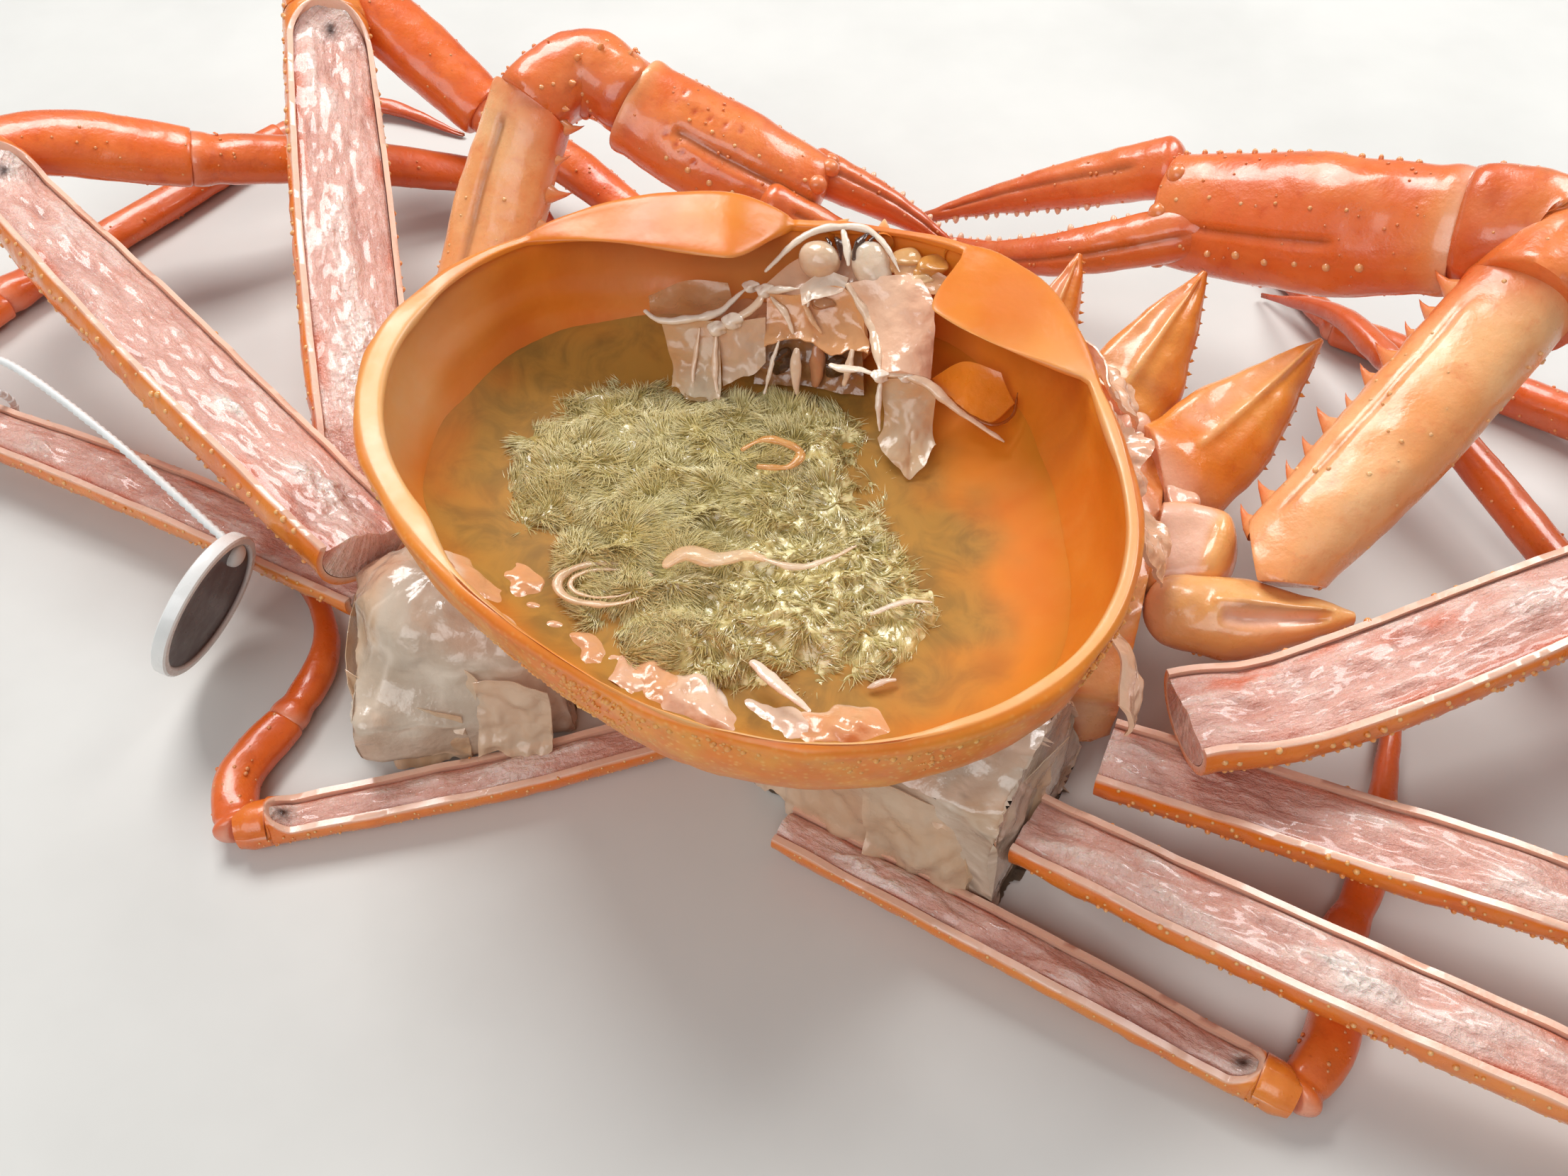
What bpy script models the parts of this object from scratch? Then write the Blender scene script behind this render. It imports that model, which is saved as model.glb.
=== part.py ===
"""Red snow crab, cooked, opened and laid out for serving, as a life-size still model.

The carapace lies upturned as a bowl that still holds its insides, on the flesh of the body. Round it lie
the two claws, three cut leg bases and eight legs, each with its long joint slit open over the flesh.
Lengths are in millimetres here and become metres where a mesh is made. +X runs to the right of the
carapace, +Y away from the viewer and +Z up, and the floor is z = 0.
"""
import math

import bmesh
import bpy
import numpy as np

MM = 0.001
GAP = 0.3
CENTRE = (6.5, 60.05)

# Carapace: a bowl 140 mm wide, its front turned away and 22 degrees clockwise
BOWL_AT = np.array([-3.0, 15.0])
BOWL_TURN = math.radians(22)
BOWL_RADII = (60, 67, 65, 70.5, 73, 66, 57.5, 56, 63, 70, 66.5, 58.5)
BOWL_DEPTH = 40.0
BOWL_RIM = 68.0
BOWL_WALL = 2.0
BOWL_FULLNESS = 2.25
BOWL_STEP = 10
BOWL_LEVELS = (0.16, 0.36, 0.56, 0.74, 0.88)
LIP = 3.0
FLAPS = ((-62, -27, -12, 17.5, 5, 6), (21, 31, 58, 22, 3, 1))
HORNS = ((-5, 7, 2.4), (5, 7, 2.4), (-17, 4, 1.8), (17, 4, 1.8), (-27, 3.5, 1.6), (27, 3.5, 1.6))
GRANULES = (96, 266, 8.5)
INSIDES_LEVEL = 43.2
MASS_AT, MASS_HALF, MASS_RISE = (-4, 14), (42, 37), 5

# Legs: slit shells with flesh, cut a little above the middle of their height
SHELL = 1.4
WINDOW_LEVEL = 0.3
OPEN_STATIONS = 7
LEG_SIDES = 6
LEG_GRAIN = 5
PAST_JOINT = 0.25
FLATNESS = 0.82

ORANGE = (0.70, 0.17, 0.03)
RED = (0.52, 0.08, 0.02)
YELLOW = (0.75, 0.32, 0.07)
FLESH = (0.72, 0.42, 0.34)
OLIVE = (0.30, 0.25, 0.09)
CLEAR = (0.62, 0.55, 0.44)
WHITE = (0.85, 0.85, 0.83)
BLACK = (0.03, 0.02, 0.02)


def clear_scene():
    """Remove whatever the file opened with."""
    for item in list(bpy.data.objects):
        bpy.data.objects.remove(item, do_unlink=True)


def unit(v):
    """The vector at length 1."""
    v = np.asarray(v, float)
    return v / np.linalg.norm(v)


def catmull(values, t):
    """Evenly spaced values, eased at places t from 0 to 1."""
    v = np.asarray(values, float)
    ends = np.concatenate([[2 * v[0] - v[1]], v, [2 * v[-1] - v[-2]]])
    x = np.asarray(t, float) * (len(v) - 1)
    i = np.clip(np.floor(x).astype(int), 0, len(v) - 2)
    f = x - i
    if v.ndim > 1:
        f = f[:, None]
    a, b, c, d = ends[i], ends[i + 1], ends[i + 2], ends[i + 3]
    return b + 0.5 * f * (c - a + f * (2 * a - 5 * b + 4 * c - d + f * (3 * b - a - 3 * c + d)))


def path_through(points, at):
    """Places on one smooth curve through the points, at fractions of its length."""
    dense = catmull(points, np.linspace(0, 1, 25 * len(points)))
    run = np.concatenate([[0], np.cumsum(np.linalg.norm(np.diff(dense, axis=0), axis=1))])
    return np.stack([np.interp(np.asarray(at) * run[-1], run, dense[:, k]) for k in range(3)], 1), run[-1]


def axes_along(places, up):
    """Forward, side and up directions at each place of a path."""
    forward = np.gradient(places, axis=0)
    forward /= np.linalg.norm(forward, axis=1)[:, None]
    side = np.cross(forward, up)
    side /= np.linalg.norm(side, axis=1)[:, None]
    return forward, side, np.cross(side, forward)


def pressed(verts, planes):
    """Press what passes any plane back onto it, half the gap short; a plane is a point and a direction."""
    for point, normal in planes:
        normal = unit(normal)
        over = (verts - np.asarray(point, float)) @ normal + GAP / 2
        verts = verts - np.maximum(over, 0)[:, None] * normal
    return verts


def behind(plane):
    """The same plane seen from its other side."""
    return plane[0], -np.asarray(plane[1], float)


def material(name, colour, roughness):
    """A Principled finish of one colour."""
    finish = bpy.data.materials.new(name)
    finish.use_nodes = True
    shader = finish.node_tree.nodes["Principled BSDF"]
    shader.inputs["Base Color"].default_value = (*colour, 1)
    shader.inputs["Roughness"].default_value = roughness
    return finish


def add(name, verts, faces, colour=None, roughness=0.35):
    """A named object from points in millimetres, flat where it meets the floor; pieces have no colour."""
    mesh = bpy.data.meshes.new(name)
    verts = np.array(verts) - np.array([CENTRE[0], CENTRE[1], 0])
    verts[:, 2] = np.maximum(verts[:, 2], 0)
    mesh.from_pydata((verts * MM).tolist(), [], faces)
    mesh.update()
    mesh.shade_smooth()
    mesh.set_sharp_from_angle(angle=math.radians(40))
    thing = bpy.data.objects.new(name, mesh)
    bpy.context.scene.collection.objects.link(thing)
    if colour:
        mesh.materials.append(material(name, colour, roughness))
    return thing


def loft(rings, closed_ends=True):
    """Points and faces of a closed skin over rings of equal count, with a fan at each end."""
    rings = np.asarray(rings)
    count, sides = rings.shape[:2]
    verts = rings.reshape(-1, 3)
    faces = []
    for i in range(count - 1):
        for j in range(sides):
            k = (j + 1) % sides
            faces.append((i * sides + j, (i + 1) * sides + j, (i + 1) * sides + k, i * sides + k))
    if closed_ends:
        first, last = len(verts), len(verts) + 1
        verts = np.vstack([verts, rings[0].mean(0), rings[-1].mean(0)])
        for j in range(sides):
            k = (j + 1) % sides
            faces.append((first, j, k))
            faces.append((last, (count - 1) * sides + k, (count - 1) * sides + j))
    return verts, faces


def two_line_loft(lower, upper):
    """Closed skin over stations that each have a lower and an upper line of points, left to right."""
    rings = np.concatenate([lower, upper[:, ::-1]], axis=1)
    verts, faces = loft(rings, closed_ends=False)
    sides = rings.shape[1]
    last = (len(rings) - 1) * sides
    for j in range(lower.shape[1] - 1):
        k = sides - 1 - j
        faces.append((j, j + 1, k - 1, k))
        faces.append((last + j, last + k, last + k - 1, last + j + 1))
    return verts, faces


def outline(sides, fullness):
    """Points of a unit superellipse, across and up."""
    a = np.arange(sides) * 2 * math.pi / sides
    power = 2 / fullness
    return np.stack([np.sign(np.cos(a)) * abs(np.cos(a)) ** power,
                     np.sign(np.sin(a)) * abs(np.sin(a)) ** power], 1)


def limb_shape(points, widths, heights, up=(0, 0, 1), sides=10, stations=6, fullness=2.2, ends=(0.6, 0.6)):
    """Points and faces of a limb joint with rounded ends; ends are cap lengths over the end width."""
    _, length = path_through(points, [0, 1])
    caps = [ends[0] * widths[0] / 2 / length, ends[1] * widths[-1] / 2 / length]
    turn = np.array([math.radians(a) for a in (25, 55, 90)])
    start = caps[0] * (1 - np.cos(turn))
    end = 1 - caps[1] * (1 - np.cos(turn))
    middle = np.linspace(caps[0], 1 - caps[1], stations)[1:-1]
    at = np.concatenate([start, middle, end[::-1]])
    scale = np.concatenate([np.sin(turn), np.ones(len(middle)), np.sin(turn)[::-1]])
    places, _ = path_through(points, at)
    _, side, rise = axes_along(places, np.asarray(up, float))
    flat = outline(sides, fullness)
    wide = catmull(widths, at) / 2 * scale
    tall = catmull(heights, at) / 2 * scale
    rings = (places[:, None] + side[:, None] * (wide[:, None] * flat[:, 0])[..., None]
             + rise[:, None] * (tall[:, None] * flat[:, 1])[..., None])
    return loft(rings)


def spike_shape(root, way, length, radius, sides=6, sink=1.0, tip=0.12):
    """A cone that leaves the root along a direction, its foot sunk below the surface."""
    way = unit(way)
    across = unit(np.cross(way, (0.3, 0.2, 1) if abs(way[2]) < 0.9 else (1, 0, 0)))
    other = np.cross(way, across)
    turn = np.arange(sides) * 2 * math.pi / sides
    circle = np.cos(turn)[:, None] * across + np.sin(turn)[:, None] * other
    root = np.asarray(root, float)
    rings = [root - way * sink + circle * radius, root + way * length * 0.5 + circle * radius * 0.6,
             root + way * length + circle * radius * tip]
    return loft(rings)


def bump_shape(place, way, radius, height, sides=6):
    """A low wart on a surface."""
    return spike_shape(place, way, height, radius, sides, sink=0.8, tip=0.45)


def fuse(name, shapes, colour, planes=(), solver="EXACT"):
    """One closed body from overlapping closed shapes, pressed behind planes; the largest surface is kept."""
    whole = add(name, *shapes[0], colour)
    extras = bpy.data.collections.new(name + "_pieces")
    bpy.context.scene.collection.children.link(extras)
    for number, (verts, faces) in enumerate(shapes[1:]):
        piece = add(f"{name}_piece_{number}", verts, faces)
        bpy.context.scene.collection.objects.unlink(piece)
        extras.objects.link(piece)
    union = whole.modifiers.new("Union", "BOOLEAN")
    union.operation = "UNION"
    union.operand_type = "COLLECTION"
    union.collection = extras
    union.solver = solver
    evaluated = whole.evaluated_get(bpy.context.evaluated_depsgraph_get())
    mesh = bpy.data.meshes.new_from_object(evaluated)
    whole.modifiers.clear()
    whole.data = mesh
    for piece in list(extras.objects):
        bpy.data.objects.remove(piece, do_unlink=True)
    bpy.data.collections.remove(extras)
    keep_largest(mesh)
    if planes:
        shift = np.array([CENTRE[0], CENTRE[1], 0])
        verts = np.array([v.co[:] for v in mesh.vertices]) / MM + shift
        verts = (pressed(verts, planes) - shift) * MM
        mesh.vertices.foreach_set("co", verts.ravel())
        mesh.update()


def keep_largest(mesh):
    """Drop every closed surface of a mesh but the one with the most faces."""
    work = bmesh.new()
    work.from_mesh(mesh)
    left = set(work.faces)
    groups = []
    while left:
        group = {left.pop()}
        edge = list(group)
        while edge:
            face = edge.pop()
            for line in face.edges:
                for other in line.link_faces:
                    if other in left:
                        left.remove(other)
                        group.add(other)
                        edge.append(other)
        groups.append(group)
    groups.sort(key=len)
    for group in groups[:-1]:
        bmesh.ops.delete(work, geom=list(group), context="FACES")
    loose = [v for v in work.verts if not v.link_faces]
    bmesh.ops.delete(work, geom=loose, context="VERTS")
    work.to_mesh(mesh)
    work.free()


def rim_radius(turn):
    """How far the bowl's rim lies from its middle, at angles clockwise from the front."""
    waves = np.fft.rfft(BOWL_RADII) / len(BOWL_RADII)
    total = waves[0].real + waves[-1].real * np.cos((len(waves) - 1) * turn)
    for k in range(1, len(waves) - 1):
        total = total + 2 * (waves[k].real * np.cos(k * turn) - waves[k].imag * np.sin(k * turn))
    return total


def bowl_place(turn, out, height):
    """World points at angles clockwise from the front, distances from the middle and heights."""
    way = BOWL_TURN + turn
    return np.stack([BOWL_AT[0] + out * np.sin(way), BOWL_AT[1] + out * np.cos(way),
                     np.broadcast_to(height, np.shape(out))], -1)


def bowl_wall(turn, fraction, inset=0.0):
    """Points of the bowl's wall, 0 at its bottom and 1 at the rim, inset from the outer face."""
    angle = np.asarray(fraction) * math.pi / 2
    power = 2 / BOWL_FULLNESS
    out = (rim_radius(turn) - inset) * np.sin(angle) ** power
    height = BOWL_RIM - (BOWL_DEPTH - inset) * np.cos(angle) ** power
    return bowl_place(turn, out, height)


def flap_at(turn):
    """Width of the folded lip at an angle, and the lift of its free and outer edges, in two lobes."""
    wide = LIP
    lift = 0.0
    edge = 0.0
    angle = math.degrees(turn)
    for start, peak, end, reach, rise, edge_rise in FLAPS:
        off = (angle - peak) / ((end if angle > peak else start) - peak)
        lobe = math.cos(off * math.pi / 2) ** 0.8 if off < 1 else 0
        wide += (reach - LIP) * lobe
        lift += rise * lobe
        edge += edge_rise * lobe
    return wide, lift, edge


def make_carapace():
    """The upturned carapace: a bowl with a folded lip, two flaps, marginal granules and front horns."""
    turns = np.radians(np.arange(-180, 180, BOWL_STEP))
    rings = []
    for turn in turns:
        wide, lift, edge = flap_at(turn)
        rim = rim_radius(turn)
        outer = [bowl_wall(turn, f) for f in BOWL_LEVELS]
        lip = [bowl_place(turn, rim + 0.4, BOWL_RIM + edge * 0.5),
               bowl_place(turn, rim - 0.8, BOWL_RIM + 1.2 + edge),
               bowl_place(turn, rim - wide, BOWL_RIM + 0.8 + lift),
               bowl_place(turn, rim - wide + 0.4, BOWL_RIM - 0.3 + lift),
               bowl_place(turn, rim - BOWL_WALL - 0.3, BOWL_RIM - 2.2 + edge * 0.5)]
        inner = [bowl_wall(turn, f, BOWL_WALL) for f in BOWL_LEVELS[::-1]]
        rings.append(outer + lip + inner)
    rings = np.array(rings)
    count, steps = rings.shape[:2]
    verts = np.vstack([rings.reshape(-1, 3), bowl_wall(0, 0), bowl_wall(0, 0, BOWL_WALL)])
    bottom, floor = count * steps, count * steps + 1
    faces = []
    for i in range(count):
        j = (i + 1) % count
        faces.append((bottom, i * steps, j * steps))
        faces.append((floor, j * steps + steps - 1, i * steps + steps - 1))
        for k in range(steps - 1):
            faces.append((i * steps + k, i * steps + k + 1, j * steps + k + 1, j * steps + k))
    shapes = [(verts, faces)]
    for turn in np.radians(np.arange(*GRANULES)):
        foot = bowl_place(turn, rim_radius(turn) + 0.2, BOWL_RIM - 1.2)
        out = bowl_place(turn, rim_radius(turn) + 2, BOWL_RIM - 1.2) - foot
        shapes.append(bump_shape(foot, out, 1.4, 1.0, 4))
    for degrees, length, radius in HORNS:
        turn = math.radians(degrees)
        foot = bowl_place(turn, rim_radius(turn) - 0.5, BOWL_RIM - 1.8)
        way = bowl_place(turn * 0.4, rim_radius(turn) + 9, BOWL_RIM - 2.8) - foot
        shapes.append(spike_shape(foot, way, length, radius, 5, sink=0.8))
    fuse("carapace", shapes, ORANGE)


def olive_height(x, y):
    """Height of the insides at places over the bowl: a lumpy mass in a flat pool."""
    away = np.hypot((x - MASS_AT[0]) / MASS_HALF[0], (y - MASS_AT[1]) / MASS_HALF[1])
    mass = MASS_RISE * np.clip(1.15 - away ** 3, 0, 1)
    lumps = 0.9 * np.sin(x * 0.21 + 1) * np.sin(y * 0.24 + 0.4)
    return INSIDES_LEVEL + mass + lumps * (away < 1)


def make_insides():
    """What the bowl holds, down to its wall and up to a lumpy top."""
    turns = np.radians(np.arange(-180, 180, BOWL_STEP))
    wall = BOWL_WALL + 1.3 * GAP
    rings = []
    for turn in turns:
        low = [bowl_wall(turn, f, wall) for f in BOWL_LEVELS[:3]]
        rim = low[-1]
        middle = np.array([BOWL_AT[0], BOWL_AT[1], 0])
        high = []
        for share in (0.98, 0.66, 0.33):
            spot = middle + (rim - middle) * share
            spot[2] = olive_height(spot[0], spot[1])
            high.append(spot)
        rings.append(low + high)
    rings = np.array(rings)
    count, steps = rings.shape[:2]
    top = np.array([BOWL_AT[0], BOWL_AT[1], olive_height(*BOWL_AT)])
    verts = np.vstack([rings.reshape(-1, 3), bowl_wall(0, 0, wall), top])
    faces = []
    for i in range(count):
        j = (i + 1) % count
        faces.append((count * steps, i * steps, j * steps))
        faces.append((count * steps + 1, j * steps + steps - 1, i * steps + steps - 1))
        for k in range(steps - 1):
            faces.append((i * steps + k, i * steps + k + 1, j * steps + k + 1, j * steps + k))
    add("insides", verts, faces, OLIVE, 0.25)


def lump_shape(middle, size, seed, rough=0.12, turns=12, rows=7, turned=0.0):
    """A rounded, uneven lump of flesh."""
    chance = np.random.default_rng(seed)
    phase = chance.uniform(0, 2 * math.pi, 6)
    rings = []
    for row in np.linspace(0.16, math.pi - 0.16, rows):
        a = np.arange(turns) * 2 * math.pi / turns
        way = np.stack([np.sin(row) * np.cos(a), -np.sin(row) * np.sin(a), -np.cos(row) + 0 * a], 1)
        swell = 1 + rough * (np.sin(3 * way[:, 0] + phase[0]) * np.sin(4 * way[:, 1] + phase[1])
                             + 0.7 * np.sin(5 * way[:, 2] + phase[2] + 3 * way[:, 0]))
        way = np.sign(way) * abs(way) ** 0.8 * swell[:, None]
        rings.append(way * np.asarray(size))
    rings = np.array(rings)
    cos, sin = math.cos(turned), math.sin(turned)
    turned_x = rings[..., 0] * cos - rings[..., 1] * sin
    turned_y = rings[..., 0] * sin + rings[..., 1] * cos
    rings = np.stack([turned_x, turned_y, rings[..., 2]], -1) + np.asarray(middle, float)
    return loft(rings)


def slit_joint(name, points, widths, heights, up, window_end, planes):
    """A leg's long joint, slit open along its top, and the flesh in it, as two bodies."""
    _, length = path_through(points, [0, 1])
    bend = widths[-1] / 2 / length
    at = np.concatenate([np.linspace(0, window_end - bend, OPEN_STATIONS),
                         window_end - bend * np.array([0.5, 0.15, 0.02]), [window_end + 0.03, 1.01]])
    shut = len(at) - OPEN_STATIONS
    level = np.concatenate([np.full(OPEN_STATIONS, WINDOW_LEVEL), [0.5, 0.78, 0.97, 0.3, 0.3]])
    deep = np.concatenate([np.ones(OPEN_STATIONS), [0.8, 0.4, 0, 0, 0]])
    ends = np.concatenate([np.ones(len(at) - 1), [0.86]])
    places, _ = path_through(points, np.minimum(at, 1))
    _, side, rise = axes_along(places, np.asarray(up, float))
    wide = catmull(widths, np.minimum(at, 1)) / 2 * ends
    tall = catmull(heights, np.minimum(at, 1)) / 2 * ends
    share = np.linspace(0, 1, LEG_SIDES + 1)

    def line(i, inset, depth, top=False):
        """One line of the section at station i, left to right through the bottom or over the top."""
        cut = math.asin(level[i])
        angle = (math.pi - cut) + (math.pi + 2 * cut) * share
        if top:
            angle = (math.pi - cut) - (math.pi - 2 * cut) * share
        across = (wide[i] - inset) * np.cos(angle)
        height = (tall[i] - inset) * np.sin(angle)
        if not top:
            edge = tall[i] * level[i]
            height[0] = height[-1] = edge
            across = across[0] + (across[-1] - across[0]) * share * (1 - depth) + (across - across[0]) * depth
            height = edge + (height - edge) * depth
        return places[i] + across[:, None] * side[i] + height[:, None] * rise[i]

    lower = np.array([line(i, 0, 1) for i in range(len(at))])
    upper = []
    for i in range(len(at)):
        closed = i >= len(at) - 2
        upper.append(line(i, 0, 1, top=True) if closed else line(i, SHELL, deep[i]))
    verts, faces = two_line_loft(lower, np.array(upper))
    add(name + "_merus", pressed(verts, planes), faces, ORANGE, 0.3)

    chance = np.random.default_rng(LEG_GRAIN + len(name) + int(abs(points[0][0])))
    low = []
    high = []
    for i in range(OPEN_STATIONS):
        below = line(i, SHELL + GAP, 1)
        tip = i == OPEN_STATIONS - 1
        middle = (below[0] + below[-1]) / 2
        if tip:
            below = middle + (below - middle) * 0.8
        crown = np.sin(share * math.pi) ** 0.7 * chance.uniform(0.5, 1.3, LEG_SIDES + 1)
        high.append(below[0] + (below[-1] - below[0]) * share[:, None] + crown[:, None] * rise[i])
        low.append(below)
    low = np.array(low)
    high = np.array(high)
    low[:, [0, -1]] -= rise[:OPEN_STATIONS, None] * GAP
    verts, faces = two_line_loft(low, high)
    add(name + "_flesh", pressed(verts, planes), faces, FLESH, 0.3)


def mitre(before, after):
    """The plane between two limb joints that meet, as a point and the forward direction."""
    joint = np.asarray(after[0], float)
    return joint, unit(unit(joint - np.asarray(before[-2])) + unit(np.asarray(after[1]) - joint))


def leg(name, row):
    """One leg of four joints that meet in flat mitres; the long one is slit open."""
    paths = [np.asarray(path, float) for path in row["paths"]]
    planes = [mitre(a, b) for a, b in zip(paths, paths[1:])]
    slit_joint(name, paths[0], row["widths"][0], row["heights"], row["up"], row["window"], planes[:1])
    kinds = ("carpus", "propodus", "dactylus") if len(paths) == 4 else ("carpus", "foot")
    last = len(kinds)
    for number, kind in enumerate(kinds, 1):
        wide = row["widths"][number]
        path = longer(paths[number], wide[0] * PAST_JOINT, wide[-1] * PAST_JOINT * (number < last))
        tall = [w * FLATNESS for w in wide]
        verts, faces = limb_shape(path, wide, tall, sides=8 if number < last else 6, stations=5)
        verts = pressed(verts, [behind(planes[number - 1])] + planes[number:number + 1])
        add(f"{name}_{kind}", verts, faces, RED if number > 1 else ORANGE, 0.3)


def on_limb(points, widths, heights, up, at, degrees):
    """A point on a limb's skin at a fraction and an angle, with its outward and forward directions."""
    places, _ = path_through(points, [max(at - 0.02, 0), at, min(at + 0.02, 1)])
    forward, side, rise = axes_along(places, np.asarray(up, float))
    wide = catmull(widths, [at])[0] / 2
    tall = catmull(heights, [at])[0] / 2
    a = math.radians(degrees)
    spot = places[1] + side[1] * wide * math.cos(a) + rise[1] * tall * math.sin(a)
    out = unit(side[1] * math.cos(a) / wide + rise[1] * math.sin(a) / tall)
    return spot, out, forward[1]


def longer(path, before, after):
    """The path drawn out past its ends."""
    first = path[0] - unit(path[1] - path[0]) * before
    last = path[-1] + unit(path[-1] - path[-2]) * after
    return np.vstack([first, path[1:-1], last])


def claw(name, row):
    """One claw: spined merus, carpus, palm with its fixed finger, and the moving finger."""
    up_arm, up_hand = row["up_arm"], row["up_hand"]
    merus, carpus, palm = [np.asarray(row[k], float) for k in ("merus", "carpus", "palm")]
    elbow = mitre(merus, carpus)
    wrist = mitre(carpus, palm)
    wide, tall = row["merus_size"]
    shapes = [limb_shape(longer(merus, 0.5 * wide[0], 0.4 * wide[-1]), wide, tall, up_arm, 12, 8, 2.6)]
    for number, at in enumerate(np.linspace(0.08, 0.86, row["spines"])):
        spot, out, forward = on_limb(merus, wide, tall, up_arm, at, row["spine_side"] + 6 * (number % 2))
        size = 1 + 0.3 * math.sin(number * 2.1)
        shapes.append(spike_shape(spot, out + 0.45 * forward, 2.6 * size, 1.3 * size, 5))
    fuse(name + "_merus", shapes, YELLOW, [elbow] + list(row["butts"]))

    wide, tall = row["carpus_size"]
    path = longer(carpus, 0.4 * wide[0], 0.3 * wide[-1])
    shapes = [limb_shape(path, wide, tall, up_hand, 12, 6, 2.3, (0.9, 0.9))]
    for number, at in enumerate((0.3, 0.45, 0.6, 0.72)):
        spot, out, _ = on_limb(carpus, wide, tall, up_hand, at, row["face_side"] - 40 + 25 * number)
        shapes.append(bump_shape(spot, out, 1.3, 1.2, 5))
    fuse(name + "_carpus", shapes, ORANGE, [behind(elbow), wrist])

    wide, tall = row["palm_size"]
    shapes = [limb_shape(longer(palm, 0.3 * wide[0], 0), wide, tall, up_hand, 14, 9, 2.2, (0.5, 0.4))]
    for degrees, starts in row["warts"]:
        for number, at in enumerate(starts):
            spot, out, _ = on_limb(palm, wide, tall, up_hand, at, degrees + 5 * math.sin(3 * number))
            shapes.append(bump_shape(spot, out, 1.25, 1.3, 5))
    fixed = np.asarray(row["fixed"], float)
    shapes.append(limb_shape(fixed, *row["fixed_size"], up_hand, 9, 6, 2.1, (0.5, 0.9)))
    for at in np.linspace(0.3, 0.92, row["teeth"]):
        spot, out, _ = on_limb(fixed, *row["fixed_size"], up_hand, at, row["bite"])
        shapes.append(spike_shape(spot, out, 1.5, 1.1, 5, 0.7, 0.3))
    fuse(name + "_palm", shapes, ORANGE, [behind(wrist)])

    finger = np.asarray(row["finger"], float)
    shapes = [limb_shape(finger, *row["finger_size"], up_hand, 9, 7, 2.1, (0.9, 0.9))]
    for at in np.linspace(0.34, 0.92, row["teeth"]):
        spot, out, _ = on_limb(finger, *row["finger_size"], up_hand, at, -row["bite"])
        shapes.append(spike_shape(spot, out, 1.2, 1.1, 5, 0.7, 0.3))
    knuckle = (palm[-1] + GAP * unit(palm[-1] - palm[-2]), unit(palm[-2] - palm[-1]))
    fuse(name + "_finger", shapes, RED, [knuckle])


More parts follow.
